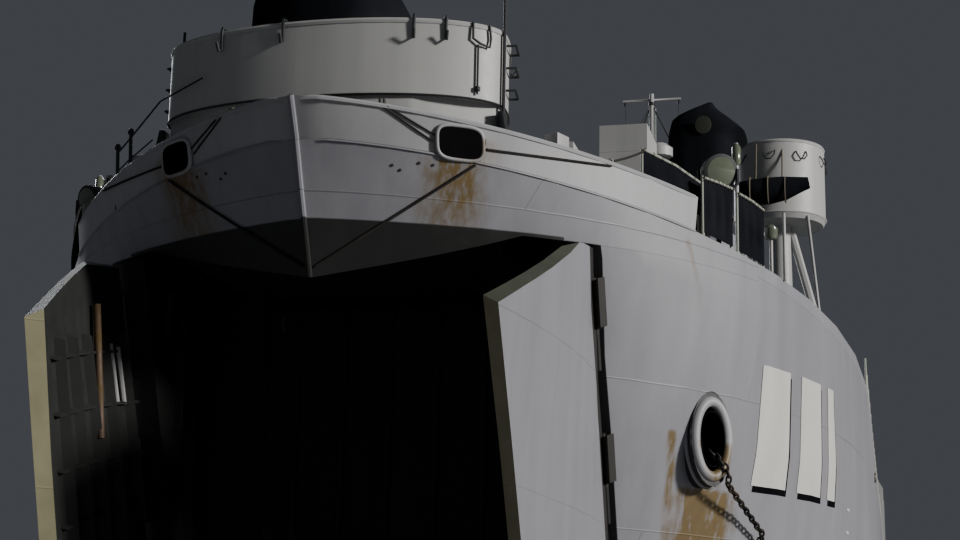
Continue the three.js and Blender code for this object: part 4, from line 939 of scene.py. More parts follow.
STERN_COVER = [(0.9375, 0.104, 0.104, 0), (0.98, 0.108, 0.108, 0), (1.055, 0.1, 0.096, 0),
               (1.12, 0.07, 0.062, 0), (1.139, 0.035, 0.03, 0)]
cover = lashed_cover("stern_canvas", "stern_mount_cover", STERN_MOUNT, STERN_COVER, 0.8, 0.035, 6, seed=12)
rope = lashing("stern_canvas_rope", STERN_MOUNT, 0.1095, 0.1095, 0.985, 0.003, 0.8)
declare_cover(cover, STERN_COVER, 0.8)
for name, side in SIDES:
    patch = [[(side * (0.498 + 0.0145 * math.cos(a) * size), -4.2595 + 0.0005 * math.sin(a) * size - drop,
               1.195 + 0.017 * math.sin(a) * size) for a in full_turn(24)]
             for drop, size in ((0.0, 1.0), (0.001, 0.97), (0.002, 0.0))]
    dress(f"tent_patch_{name}", Form().bridge(patch), "patch", slot="canvas")
print("covers done")

# %% [markdown]
# The bulwark round the bow is a plain band of plate. A rolled bar stiffens its top edge, small brackets hold
# it up from the deck behind, and an oval chock with a round lip leads the mooring lines out on each side. The
# brackets repeat, so they are set on points along the deck edge.

# %% Bulwark and chocks
BULWARK_TOP = 0.054


def bulwark_line(inset, rise, y_from=-4.958, y_to=-4.586, steps=26):
    path = []
    for i in range(steps + 1):
        t = (i / steps) ** 1.6
        y = y_from + (y_to - y_from) * t
        half = knuckle_half(y)
        ahead = 0.033 * (1 - half / HALF_BEAM) ** 2 * rise / BULWARK_TOP
        z = deck_z(max(0.0, half - 0.02), y + 0.006)
        path.append(((half - 0.002 - inset) * (1 + 0.01 * rise / BULWARK_TOP), y - ahead, z + rise))
    return path


top_line = bulwark_line(0.005, BULWARK_TOP)
both = [(-x, y, z) for x, y, z in reversed(top_line)] + top_line
dress("bulwark_rail", Form().tube(both, 0.0045, 8), "bulwark", slot="hull")
foot_line = bulwark_line(-0.001, 0.001)
both_feet = [(-x, y, z) for x, y, z in reversed(foot_line)] + foot_line
dress("bulwark_foot", Form().tube(both_feet, 0.0022, 6), "hull", slot="hull")
bracket = Form().block([(0.0, 0.0), (0.026, 0.0), (0.004, 0.046), (0.0, 0.046)], (-0.0015, 0.0015))
bracket_line, bracket_spots = bulwark_line(0.015, 0.001), []
for name, side in SIDES:
    for i in (7, 10, 15, 17, 19, 21, 23, 25):
        (x, y, z), (nx, ny, _) = bracket_line[i], bracket_line[i - 1]
        bracket_spots.append(((side * x, y, z), math.atan2(side * (nx - x), y - ny) + side * math.pi / 2))
set_out("bulwark_brackets", bracket, bracket_spots, "bulwark", slot="hull")


CHOCK = {"centre": Vector((0.2178, -4.8848, 0.9812)), "half": 0.0332, "tall": 0.0232}
CHOCK_ALONG = Vector((0.84, 0.54, 0.0)).normalized()
CHOCK_UP = Vector((0.04, -0.31, 1.0)).normalized()
CHOCK_OUT = CHOCK_ALONG.cross(CHOCK_UP).normalized()


def chock_ring(side, out, size):
    ring = []
    for a in full_turn(40):
        u, v = squarish(a, 0.55)
        point = (CHOCK["centre"] + CHOCK_ALONG * (CHOCK["half"] * size * u)
                 + CHOCK_UP * (CHOCK["tall"] * size * v) + CHOCK_OUT * out)
        ring.append(Vector((side * point.x, point.y, point.z)))
    return ring


for name, side in SIDES:
    lip = Form().tube(chock_ring(side, 0.0, 1.05), 0.0032, 10, loop=True)
    dress(f"chock_lip_{name}", lip, "bulwark", slot="steel")
    # A black plate behind each lip is painted shadow filling the chock's opening.
    back = Form().bridge([chock_ring(side, out, 1.0) for out in (0.002, -0.004)])
    dress(f"chock_back_{name}", back, "black", slot="steel")
print("bulwark top at", round(top_line[-1][2], 3))

# %% [markdown]
# The hawse is a fat oval ring cast round the pipe, rusty at its foot, and the chain to the anchor hangs out
# of it. The ring is one oval bead, and the links are laid end to end by the chain tree along a path that
# rolls over the ring and then keeps just off the plating.

# %% Hawse and anchor chain
HAWSE = Vector((0.522, -4.489, 0.605))
OUT = Vector((math.cos(math.radians(-44)), math.sin(math.radians(-44)), 0))
ACROSS = Vector((-OUT.y, OUT.x, 0))


def hawse_ring(reach, size, steps):
    return [HAWSE + OUT * reach + ACROSS * size * math.cos(a) + Vector((0, 0, size * 1.8 * math.sin(a)))
            for a in full_turn(steps)]


def hawse_point(reach, aside, drop):
    return HAWSE + OUT * reach + ACROSS * aside - Vector((0, 0, drop))


# The lip takes the pale hawse paint, which is a painted highlight on its crest.
dress("hawse_lip", Form().tube(hawse_ring(0.012, 0.0325, 48), 0.0085, 14, loop=True), "hawse", slot="steel")
dress("hawse_collar", Form().tube(hawse_ring(0.001, 0.0415, 48), 0.003, 8, loop=True), "hull", slot="hull")
# The throat inside the ring is painted black: painted shade in the pipe.
throat = Form().bridge([hawse_ring(reach, size, 32) for reach, size in (
    (-0.017, 0.0005), (-0.017, 0.0245), (0.0165, 0.0245), (0.0165, 0.0233), (-0.014, 0.0225),
    (-0.014, 0.0005))])
dress("hawse_throat", throat, "black", slot="steel")


ANCHOR = Vector((0.592, -4.356, 0.458))
chain_path = [hawse_point(*knee) for knee in (
    (0.006, 0.006, 0.020), (0.018, 0.013, 0.033), (0.0248, 0.019, 0.046), (0.0245, 0.0245, 0.058),
    (0.017, 0.0285, 0.069))]
chain_foot = ANCHOR + Vector((0.0044, -0.008, 0.012))
off_ring = chain_path[-1]
for step in range(1, 7):
    point = off_ring.lerp(chain_foot, step / 7)
    point.x = max(point.x, plating(point.y, point.z)[0].x + 0.0042)
    chain_path.append(point)
chain_path += [chain_foot, ANCHOR + Vector((0.0034, -0.0026, 0.0044))]
links = along_path("anchor_chain", "chain", [chain_path], "iron",
                   {"Pitch": 0.0105, "Link": 0.0068, "Wire": 0.0019}, slot="steel")
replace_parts(links, "bow_anchor_chain")
print("chain faces", len(links.data.polygons))

# %% [markdown]
# Both bows carry a row of three painted blocks with a black edge behind, the place where such a ship has its
# recognition marks; here they stay blank. Each block is a thin plate laid on the hull by rays, so it follows
# the flare. A flat plane would cut into the plating at its ends.

# %% Blank recognition blocks


def hull_patch(y0, y1, z0, z1, side, proud, lean, cols=10, rows=12):
    front, back = [], []
    for row in range(rows + 1):
        front.append([])
        back.append([])
        for col in range(cols + 1):
            z = z0 + (z1 - z0) * row / rows
            y = y0 + (y1 - y0) * col / cols + lean * (row / rows - 0.5)
            place, normal = plating(y, z, side)
            normal = -normal if normal.x * side < 0 else normal
            front[-1].append(place + normal * proud)
            back[-1].append(place - normal * 0.002)
    return Form().sheet(front, back)


BLOCKS = [(-4.4000, -4.3190), (-4.2830, -4.1980), (-4.1640, -4.1290)]
BLOCK_LEAN, BLOCK_SPAN, EDGE_SPAN, EDGE_AFT = -0.022, (0.545, 0.735), (0.535, 0.726), 0.006
for name, side in SIDES:
    for i, (y0, y1) in enumerate(BLOCKS, 1):
        block = hull_patch(y0, y1, *BLOCK_SPAN, side, 0.0012, BLOCK_LEAN)
        edge = hull_patch(y0 + EDGE_AFT, y1 + EDGE_AFT, *EDGE_SPAN, side, 0.0006, BLOCK_LEAN)
        dress(f"blank_block_{name}_{i}", block, "white", slot="hull")
        dress(f"block_edge_{name}_{i}", edge, "black", slot="hull")
print("blocks", len(BLOCKS) * 2)

# %% [markdown]
# Rolled plate, tubs and masts are round on the ship, but their CAD solids are cut into flats. A copy of each
# of them with its doubles merged can carry smooth normals, up to the angle where a real edge begins. Adding
# more flats to the CAD would cost collision pieces and still show facets close up.

# %% Smooth plating
RECORD = frame["record"]
BODY_OF = {node: body for body, nodes in RECORD["behaviour"]["bodies"].items() for node in nodes}
SLOT_OF = {row["node"]: row["material_slot"] for row in RECORD["subparts"]}


def smooth_copy(node, angle):
    source = NODES[node].data
    mesh = bpy.data.meshes.new(f"{node}_plating")
    mesh.from_pydata([tuple(v.co) for v in source.vertices], [], [list(p.vertices) for p in source.polygons])
    copy = bmesh.new()
    copy.from_mesh(mesh)
    bmesh.ops.remove_doubles(copy, verts=copy.verts, dist=3e-6)
    bmesh.ops.dissolve_limit(copy, angle_limit=math.radians(0.4), verts=copy.verts, edges=copy.edges)
    bmesh.ops.triangulate(copy, faces=[face for face in copy.faces if len(face.verts) > 4])
    copy.to_mesh(mesh)
    copy.free()
    piece = dress(f"{node}_plating", mesh, paint_for(node), BODY_OF[node], SLOT_OF[node], smooth=angle)
    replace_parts(piece, node)
    return piece


SMOOTH_ANGLES = [
    (24, ["hull_side_port", "hull_side_starboard", "bow_beak", "hull_bottom", "hull_stern", "bow_door_port",
          "bow_door_starboard"]),
    (30, ["bow_bulwark"]),
    (32, ["bow_tub", "side_tub_port", "side_tub_starboard", "aft_tub_port", "aft_tub_starboard", "stern_tub",
          "conning_tub"]),
    (40, ["hawse_port"]),
    (50, ["cargo_mast", "main_mast"]),
    (40, ["vent_fore_port", "vent_fore_starboard", "propeller_port", "propeller_starboard", "windlass",
          "stern_winch"]),
]
for angle, nodes in SMOOTH_ANGLES:
    for node in nodes:
        smooth_copy(node, angle)
print("smooth pieces", sum(len(nodes) for _, nodes in SMOOTH_ANGLES))

# %% [markdown]
# Canvas weather cloths are laced to the rails on both bows and keep the spray off the crew. Each is one flat
# cloth with eyelets, hung between a top rail and the deck edge, and it is cut a little fuller than the panel
# between its posts, so it bellies out between them. The posts and the top rail are bars; the cloth is a thin
# sheet along them.

# %% Weather cloths


def cloth_strip(foot, head, side, thick=0.0014, across=28, up=8, sag=0.004):
    def at(line, t):
        k = min(len(line) - 2, int(t * (len(line) - 1)))
        f = t * (len(line) - 1) - k
        return line[k].lerp(line[k + 1], f)

    foot, head = ([Vector((side * x, y, z)) for x, y, z in line] for line in (foot, head))
    rows = []
    for j in range(up + 1):
        rows.append([])
        for i in range(across + 1):
            low, high = at(foot, i / across), at(head, i / across)
            belly = sag * math.sin(math.pi * j / up) * math.sin(3 * math.pi * i / across) ** 2
            rows[-1].append(low.lerp(high, j / up) + Vector((side * belly, -belly * 0.8, 0)))
    shift = Vector((side * 0.7, -0.7, 0)) * thick
    return Form().sheet(rows, [[p - shift for p in row] for row in rows])


def deck_point(x, y, rise):
    return Vector((x, y, deck_z(x, y) + rise))


FULLNESS = 1.06
CLOTHS = [
    [((0.447, -4.641), 0.052, 0.110), ((0.488, -4.583), 0.050, 0.108), ((0.522, -4.535), 0.046, 0.098)],
    [((0.531, -4.565), 0.006, 0.094), ((0.552, -4.532), 0.006, 0.098), ((0.569, -4.503), 0.006, 0.100)],
    [((0.578, -4.488), 0.004, 0.098), ((0.596, -4.455), 0.004, 0.098), ((0.612, -4.420), 0.004, 0.096)],
]
for name, side in SIDES:
    rails, posts, eyes, pieces = Form(), Form(), [], []
    for number, cloth in enumerate(CLOTHS, 1):
        foot = [deck_point(x, y, low) for (x, y), low, high in cloth]
        head = [deck_point(x, y, high) for (x, y), low, high in cloth]
        piece = dress(f"weather_cloth_{name}_{number}", cloth_strip(foot, head, side), "canvas",
                      slot="canvas", smooth=60)
        length = sum((head[i + 1] - head[i]).length for i in range(2))
        height = max((head[i] - foot[i]).length for i in range(3))
        panel = sum(quad_area(foot[i], foot[i + 1], head[i + 1], head[i]) for i in range(2))
        pieces.append((piece, (round(length * FULLNESS, 3), round(height * FULLNESS, 3)),
                       round(panel * FULLNESS ** 2, 5)))
        rails.tube([Vector((side * p.x, p.y, p.z + 0.001)) for p in head], 0.0024, 8)
        for (x, y), _, high in (cloth[0], cloth[2]):
            posts.tube([(side * (x - 0.003), y + 0.002, deck_z(x - 0.003, y) - 0.002),
                        (side * (x - 0.003), y + 0.002, deck_z(x, y) + high + 0.004)], 0.0028, 8)
        for i in range(8):
            t = i / 7
            place = head[0].lerp(head[1], t * 2) if t < 0.5 else head[1].lerp(head[2], t * 2 - 1)
            eyes.append(((side * (place.x + 0.001), place.y - 0.001, place.z - 0.0005), side * 0.95))
    dress(f"cloth_rails_{name}", rails, "rail")
    dress(f"cloth_posts_{name}", posts, "rail")
    ring = Form().tube(circle(0.0034, 10, plane=(1, 2)), 0.0006, 5, loop=True)
    set_out(f"cloth_lacing_{name}", ring, eyes, "rope", slot="canvas")
print("weather cloths", 2 * len(CLOTHS))

# %% [markdown]
# Along the same rail stand a signal lamp on a yoke, a stanchion lamp, a rolled awning and a low locker. Each
# is turned or bridged one by one, since no two of them are alike, and the same set stands on the starboard
# side.

# %% Rail gear
SIGNAL_LAMP = (0.546, -4.495, 1.037)
AWNING_Y, AWNING_Z = -3.962, 1.154


def signal_lamp(name, side):
    lamp = Vector((side * SIGNAL_LAMP[0], *SIGNAL_LAMP[1:]))
    look = (side * 0.45, -0.85, -0.25)
    gear = Form().turned([(0.0, -0.030), (0.012, -0.030), (0.021, -0.024), (0.0255, -0.008), (0.0265, 0.006),
                          (0.0285, 0.008), (0.0285, 0.013), (0.0245, 0.014)], lamp, 32, facing=look)
    for way in (-1, 1):
        gear.tube([lamp + Vector((way * x, 0, z)) for x, z in (
            (0.031, 0.003), (0.031, -0.022), (0.012, -0.038), (0, -0.040))], 0.0026, 8)
    foot = deck_z(lamp.x, lamp.y)
    gear.tube([lamp + Vector((0, 0, -0.038)), (lamp.x, lamp.y, foot - 0.002)], 0.0042, 12)
    gear.turned([(0.0, 0.0), (0.016, 0.0), (0.016, 0.005), (0.007, 0.008), (0.0, 0.008)],
                (lamp.x, lamp.y, foot - 0.001), 20)
    dress(f"signal_lamp_{name}", gear, "dark", slot="steel")
    glass = Form().turned([(0.0, 0.0125), (0.0236, 0.0125), (0.0236, 0.0145), (0.012, 0.017), (0.0, 0.0175)],
                          lamp, 32, facing=look)
    dress(f"signal_lamp_glass_{name}", glass, "glass", slot="steel")


def rolled_awning(name, side):
    line = [(0.528, 1.168), (0.541, 1.158), (0.56, 1.152), (0.59, 1.153), (0.62, 1.157), (0.65, 1.163),
            (0.667, 1.166)]
    roll = Form().tube([(side * x, AWNING_Y, z) for x, z in line],
                       [0.006, 0.019, 0.025, 0.026, 0.023, 0.015, 0.011], 18)
    dress(f"rolled_awning_{name}", roll, "canvas", slot="canvas", smooth=60)
    ties = Form()
    for x, radius in ((0.556, 0.0262), (0.59, 0.0272), (0.622, 0.024)):
        ties.tube(circle(radius, 20, (side * x, AWNING_Y, AWNING_Z), (1, 2)), 0.0016, 6, loop=True)
    for x in (0.565, 0.615):
        ties.tube([(side * x, AWNING_Y + 0.01, 1.172), (side * x, AWNING_Y + 0.03, 1.2),
                   (side * x, -3.918, 1.262)], 0.0014, 6)
    dress(f"awning_ties_{name}", ties, "rope", slot="canvas")


for name, side in SIDES:
    signal_lamp(name, side)
    rolled_awning(name, side)
    low = deck_z(side * 0.334, -4.764)
    odds = Form().block([(side * x, y) for x, y in ((0.318, -4.776), (0.340, -4.786), (0.352, -4.757),
                                                    (0.330, -4.747))],
                        (low - 0.001, low + 0.075, low + 0.081), 2)
    odds.turned([(0, 0), (0.011, 0), (0.011, 0.035), (0.007, 0.043), (0, 0.045)],
                (side * 0.655, -4.07, deck_z(side * 0.65, -4.07) - 0.001), 20)
    for x, y, head, radius in ((0.641, -4.362, 1.0, 0.003), (0.62, -4.37, 0.955, 0.003),
                               (0.57, -4.43, 1.104, 0.0035)):
        odds.tube([(side * x, y, deck_z(side * x, y) - 0.002), (side * x, y, head)], radius, 8)
    odds.tube([(side * 0.686, -3.92, deck_z(side * 0.68, -3.92) - 0.002), (side * 0.66, -3.90, 1.118)],
              0.003, 8)
    dress(f"deck_gear_{name}", odds, "upper", bevel=0.001)
    lamp = Form().turned([(0, 0), (0.009, 0.0), (0.0115, 0.006), (0.0115, 0.018), (0.006, 0.024), (0, 0.025)],
                         (side * 0.62, -4.372, 0.953), 20)
    lamp.turned([(0, 0), (0.006, 0.0), (0.0075, 0.004), (0.0075, 0.03), (0.004, 0.036), (0, 0.037)],
                (side * 0.57, -4.43, 1.066), 16)
    dress(f"rail_lamps_{name}", lamp, "glass", slot="steel")
print("rail gear done")

# %% [markdown]
# Mooring lines run over the bow from the chocks and the bulwark. A line that lies on the plating is found by
# rays, so it bends with the plates and never cuts into them. A line through free air is a bar with a little
# sag, and each ends in an eye.

# %% Lines at the bow
bow_lines = Form()


def taut(form, start, end, radius, sag=0.0, steps=10, sides=8):
    start, end = Vector(start), Vector(end)
    form.tube([start.lerp(end, t) - Vector((0, 0, sag * 4 * t * (1 - t))) for t in
               (i / steps for i in range(steps + 1))], radius, sides)


def laid_on(form, start, end, radius, steps=22):
    start, end, line = Vector(start), Vector(end), []
    for i in range(steps + 1):
        ray = (start.lerp(end, i / steps) - EYE).normalized()
        hits = [surface(node).ray_cast(EYE, ray) for node in ("bow_beak", "bow_bulwark")]
        hits = [hit for hit in hits if hit[0]]
        if hits:
            place, normal = min(hits, key=lambda hit: hit[3])[:2]
            line.append(place + normal * (radius * 1.1))
    for _, side in SIDES:
        form.tube([(side * point.x, point.y, point.z) for point in line], radius, 8)


for start, end, radius in (((0.2349, -4.8637, 0.9538), (0.0081, -4.884, 0.8087), 0.0021),
                           ((0.112, -4.932, 1.028), (0.178, -4.892, 0.984), 0.0013),
                           ((0.120, -4.928, 1.028), (0.190, -4.887, 0.988), 0.0013),
                           ((0.244, -4.862, 0.978), (0.409, -4.724, 0.985), 0.0017)):
    laid_on(bow_lines, start, end, radius)
eyes = Form()
for _, side in SIDES:
    taut(bow_lines, (side * 0.409, -4.724, 0.992), (side * 0.447, -4.645, 1.030), 0.0018, 0.002)
    for x, y, z, turned_by in ((0.0095, -4.882, 0.8095, 0.4), (0.409, -4.7235, 0.992, 0.9)):
        eyes.tube([(side * (x + 0.004 * math.cos(a) * math.cos(turned_by)),
                    y + 0.004 * math.cos(a) * math.sin(turned_by), z + 0.0045 * math.sin(a))
                   for a in full_turn(14)], 0.0014, 6, loop=True)
    for x, y, z in ((0.112, -4.934, 1.033), (0.117, -4.930, 1.034)):
        eyes.tube([(side * x, y, z - 0.006), (side * x, y - 0.002, z + 0.004)], 0.0028, 8)
dress("bow_lines", bow_lines, "tarred", slot="canvas")
dress("line_eyes", eyes, "steel", slot="steel")
stem = Form().tube([(0, -4.9677, 0.9722), (0, -4.936, 0.9015), (0, -4.8855, 0.7925)], 0.0042, 8)
stem.tube([(0, -4.9675, 0.973), (0, -4.9985, 1.0285)], 0.0045, 8)
dress("stem_bar", stem, "hull", slot="hull")
print("lines and stem bar done")

# %% [markdown]
# The side tubs have the same turned rim as the bow tub, with hooks for canvas and line on the wall, a lip
# under the floor and rungs up the post. The aft tubs, the stern tub and the conning tub are finished alike,
# so one table gives every tub's centre and size.

# %% Tub rims, hooks and rungs
ROUND_TUBS = [
    {"name": "side_tub", "x": 0.603, "y": -3.8345, "rim": 1.266, "floor": 1.119, "radius": 0.089,
     "pair": True},
    {"name": "aft_tub", "x": 0.330, "y": 3.560, "rim": 1.130, "floor": 1.0203, "radius": 0.090, "pair": True},
    {"name": "stern_tub", "x": 0.0, "y": 4.520, "rim": 1.050, "floor": 0.930, "radius": 0.190, "pair": False},
    {"name": "conning_tub", "x": 0.0, "y": 2.390, "rim": 1.560, "floor": 1.4403, "radius": 0.140,
     "pair": False},
]
wall_hook = Form().tube([(0.0005, 0.012, -0.002), (0.006, 0.012, -0.012), (0.008, 0.004, -0.022),
                         (0.008, -0.006, -0.022), (0.006, -0.012, -0.012), (0.0005, -0.012, -0.004)],
                        0.0016, 6)
hook_spots, rim_rings = [], Form()
for tub in ROUND_TUBS:
    for _, side in (SIDES if tub["pair"] else SIDES[:1]):
        x, y, rim, radius = side * tub["x"], tub["y"], tub["rim"], tub["radius"]
        rim_rings.tube(circle(radius - 0.003, 72, (x, y, rim)), 0.0044, 8, loop=True)
        rim_rings.tube(circle(radius + 0.0002, 72, (x, y, tub["floor"] + 0.004)), 0.0022, 6, loop=True)
        for degrees in range(-150, 181, 40):
            a = math.radians(degrees + (12 if side > 0 else 168))
            hook_spots.append(((x + radius * math.cos(a), y + radius * math.sin(a), rim - 0.018), a))
dress("tub_rims", rim_rings, "tub")
set_out("tub_wall_hooks", wall_hook, hook_spots, "dark", size=0.9)
post_rung = Form().tube([(0, -0.012, 0), (0.014, -0.012, 0), (0.014, 0.012, 0), (0, 0.012, 0)], 0.0016, 6)
rungs = [((side * 0.6035, -3.8125, 0.90 + 0.035 * i), math.pi / 2) for _, side in SIDES for i in range(6)]
set_out("side_post_rungs", post_rung, rungs, "upper")
print("tub hooks", len(hook_spots))

# %% [markdown]
# A bow door is one skin of plate on a grid of flat bars. The bars are laid on the inner face by rays in the
# closed pose, where that face looks straight aft, and then the whole grid is swung out with the door. Drawing
# them in the open pose would need a tilted grid.

# %% Door framing
HINGE_POINT = Vector(HINGE_TOP)
HINGE_AXIS = Vector((0, -math.sin(HINGE_RAKE), math.cos(HINGE_RAKE)))
OPEN_DEGREES = 57.5


def door_swing(degrees):
    return (Matrix.Translation(HINGE_POINT) @ Matrix.Rotation(math.radians(degrees), 4, HINGE_AXIS)
            @ Matrix.Translation(-HINGE_POINT))


door_mesh = NODES["bow_door_port"].data
to_closed = door_swing(-OPEN_DEGREES)
CLOSED_DOOR = BVHTree.FromPolygons([to_closed @ v.co for v in door_mesh.vertices],
                                   [list(p.vertices) for p in door_mesh.polygons])


def inner_face(x, z):
    place = CLOSED_DOOR.ray_cast(Vector((x, -4.40, z)), Vector((0, -1, 0)))[0]
    return place if place and place.y < -4.6 else None


def flat_bar(form, places, deep, half, along):
    line = [place for place in places if place]
    if len(line) > 1:
        form.bridge([[place + along * u + Vector((0, v, 0)) for u, v in oblong(-half, -0.002, half, deep)]
                     for place in line])


framing = Form()
for z in (0.30, 0.365, 0.44, 0.515, 0.59, 0.665, 0.74):
    flat_bar(framing, [inner_face(0.022 + 0.0225 * i, z) for i in range(15)], 0.011, 0.0016,
             Vector((0, 0, 1)))
for x in (0.05, 0.115, 0.18, 0.245, 0.31):
    flat_bar(framing, [inner_face(x, 0.285 + 0.02 * i) for i in range(25)], 0.016, 0.0018, Vector((1, 0, 0)))
framing_mesh = framing.mesh("door_framing")
framing_mesh.transform(door_swing(OPEN_DEGREES))
mirror_mesh = framing_mesh.copy()
mirror_mesh.transform(Matrix.Scale(-1, 4, (1, 0, 0)))
mirror_mesh.flip_normals()
# The framing takes the near-black inside paint: painted shade.
for (name, _), mesh in zip(SIDES, (framing_mesh, mirror_mesh)):
    dress(f"door_framing_{name}", mesh, "inside", body=f"bow_door_{name}", slot="hull")
for name, side in SIDES:
    door = f"bow_door_{name}"
    rods = Form().tube([(side * 0.3444, -4.8545, 0.7693), (side * 0.341, -4.842, 0.68),
                        (side * 0.3366, -4.8254, 0.5722)], 0.006, 10)
    bars = Form()
    for near, far in ((-4.7856, -4.7446), (-4.760, -4.719)):
        bars.tube([(side * 0.352, near, 0.722), (side * 0.354, far, 0.640)], 0.0042, 8)
    dress(f"door_rod_{name}", rods, "rusty", body=door, slot="hull")
    dress(f"door_bars_{name}", bars, "upper", body=door, slot="hull")
print("door framing faces", len(framing_mesh.polygons))

# %% [markdown]
# The bow space is framed: deep ribs stand on its side walls and hang under the beak, and the ramp has ribs
# and a non-slip tread on its inner face. These repeat, so they are set on points from one template each.

# %% Bow space and ramp
# Ribs, beams and treads take the near-black inside paint: painted shade of the bow space.
ribs = Form()
for _, side in SIDES:
    for y in (-4.62, -4.56, -4.50):
        foot = HINGE_TOP[2] - (y - HINGE_TOP[1] - 0.06) / HINGE_SLOPE
        ribs.block([(side * x, y + dy) for x, dy in ((0.341, -0.0018), (0.326, -0.0018), (0.326, 0.0018),
                                                     (0.341, 0.0018))], (foot, 0.84), 2)
dress("recess_ribs", ribs, "inside", slot="hull")
beam = Form().block([(-0.0018, 0.0), (0.0018, 0.0), (0.0018, -0.016), (-0.0018, -0.016)], (-0.25, 0.25))
set_out("beak_beams", beam, [((0, y, 0.8662), 0) for y in (-4.74, -4.68, -4.62, -4.56, -4.50)], "inside",
        slot="hull")
tread = Form().block([(0, -0.0022), (0.0022, -0.0012), (0.0022, 0.0012), (0, 0.0022)], (-0.2, 0.2))
set_out("ramp_treads", tread, [((0, -4.4522, 0.385 + 0.0225 * i), 0) for i in range(20)], "inside",
        body="bow_ramp", slot="inside")
lugs = Form()
for x in (-0.19, 0.19):
    lugs.tube([(x, -4.4665, 0.80), (x, -4.474, 0.806), (x, -4.474, 0.822), (x, -4.4665, 0.828)], 0.003, 8)
dress("ramp_hoist_eyes", lugs, "steel", body="bow_ramp", slot="steel")
print("bow space framed")

# %% [markdown]
# Open rails run along every deck edge, with gaps where boats and davits hang outboard and where ladders come
# up. One Geometry Nodes tree grows posts and wires from a bare path, so a run is only its corner points.
# Welding each post by hand would give the same look with hundreds of lines.

# %% Deck rails
BOAT_DECK, BRIDGE_TOP = 1.0205, 1.2405
RAIL = {"Height": 0.105, "Spacing": 0.15, "Post": 0.0021, "Wire": 0.0012}
RAIL_INSET = 0.007


def stern_edge(half, steps=26):
    path = []
    for i in range(steps + 1):
        x = half * (1 - 2 * i / steps)
        aft = (1 - min(1.0, (abs(x) / HALF_BEAM) ** 1.8)) ** (1 / 2.6)
        y = STERN_TURN_Y + STERN_RUN * aft - RAIL_INSET
        path.append(Vector((x, y, deck_z(x * 0.98, y - 0.006))))
    return path


side_runs = [edge_path(y0, y1, RAIL_INSET, steps, side) for _, side in SIDES
             for y0, y1, steps in ((-3.50, 2.39, 60), (2.45, 3.09, 7), (3.15, 4.60, 20))]
along_path("main_deck_rails", "rails_2", side_runs + [stern_edge(0.655)], "rail", RAIL, slot="steel")
LEVEL_RUNS = [
    (BOAT_DECK, [(0.553, 3.32), (0.553, 3.953), (0.06, 3.953)]),
    (BOAT_DECK, [(0.553, 2.165), (0.553, 2.093), (0.516, 2.057), (0.0, 2.057)]),
    (BRIDGE_TOP, [(0.0, 2.157), (0.198, 2.157), (0.244, 2.203), (0.244, 2.944), (0.05, 2.944)]),
]
level_runs = [[(side * x, y, z) for x, y in run] for _, side in SIDES for z, run in LEVEL_RUNS]
along_path("upper_deck_rails", "rails_3", level_runs, "rail", {**RAIL, "Spacing": 0.12}, slot="steel")
bow_posts = Form()
for x, y, z, reach in ((-0.3383, -4.783, 0.959, 0.098), (-0.3737, -4.752, 0.951, 0.092)):
    bow_posts.tube([(x, y, z - 0.01), (x * 1.01, y - 0.004, z + reach)], 0.0030, 8)
    bow_posts.turned([(0, 0), (0.0045, 0.0), (0.0055, 0.004), (0.003, 0.009), (0, 0.0095)],
                     (x * 1.01, y - 0.004, z + reach - 0.001), 12)
bow_posts.tube([(-0.3774, -4.756, 1.036), (-0.3417, -4.787, 1.050), (-0.262, -4.858, 1.082),
                (-0.1755, -4.9, 1.1)], 0.0015, 6)
bow_posts.tube([(-0.3774, -4.756, 1.004), (-0.3417, -4.787, 1.014), (-0.2787, -4.842, 1.026)], 0.0013, 6)
dress("starboard_bow_rail", bow_posts, "dark", slot="steel")
print("rail runs", len(side_runs) + len(level_runs) + 1)

# %% [markdown]
# The main deck is a cargo deck, studded with lashing rings. Fairleads stand at the edge beside each pair of
# bitts, ring buoys hang on the rails and life floats lie under the boats. All of them repeat, so each is one
# template.

# %% Deck fittings
BITT_YS = (-3.25, -2.10, -0.70, 0.70, 1.85)

lashing_ring = Form().tube(circle(0.009, 10, (0, 0, 0.0022)), 0.0018, 5, loop=True)
lashing_ring.block(oblong(-0.006, -0.004, 0.006, 0.004), (0.0, 0.005), 2)
ring_spots = []
for x in (-0.56, -0.40, -0.24, -0.08, 0.08, 0.24, 0.40, 0.56):
    for y in (-3.2 + 0.26 * i for i in range(20)):
        if not (abs(x) < 0.26 and -1.99 < y < -1.27) and deck_z(x, y) > 0.7:
            ring_spots.append(((x, y, deck_z(x, y)), (x * 40 + y * 7) % 3.0))
set_out("lashing_rings", lashing_ring, ring_spots, "steel", slot="steel")
fairlead = Form()
for way in (1, -1):
    fairlead.tube([(0, way * 0.024, 0.0), (0, way * 0.026, 0.016), (0, way * 0.017, 0.030),
                   (0, way * 0.006, 0.033)], 0.006, 8)
fairlead.block(oblong(-0.012, -0.034, 0.012, 0.034), (-0.002, 0.004), 2)
lead_spots = [((side * (knuckle_half(y) - 0.028), y + 0.09, deck_z(side * 0.72, y)), 0)
              for _, side in SIDES for y in BITT_YS]
set_out("fairleads", fairlead, lead_spots, "dark", slot="steel")
buoy = Form().tube(circle(0.028, 28, plane=(1, 2)), 0.0062, 10, loop=True)
cord_line = [(0.0, (0.0365 if k % 4 else 0.033) * math.cos(a), (0.0365 if k % 4 else 0.033) * math.sin(a))
             for k, a in enumerate(full_turn(16))]
buoy_spots = [((side * (knuckle_half(y) - 0.016), y, deck_z(side * 0.72, y) + 0.062), 0)
              for _, side in SIDES for y in (-2.66, -1.34, 0.08, 1.37, 3.6, 4.4)]
set_out("ring_buoys", buoy, buoy_spots, "buoy", slot="upper")
set_out("ring_buoy_cords", Form().tube(cord_line, 0.0012, 5, loop=True), buoy_spots, "rope", slot="canvas")
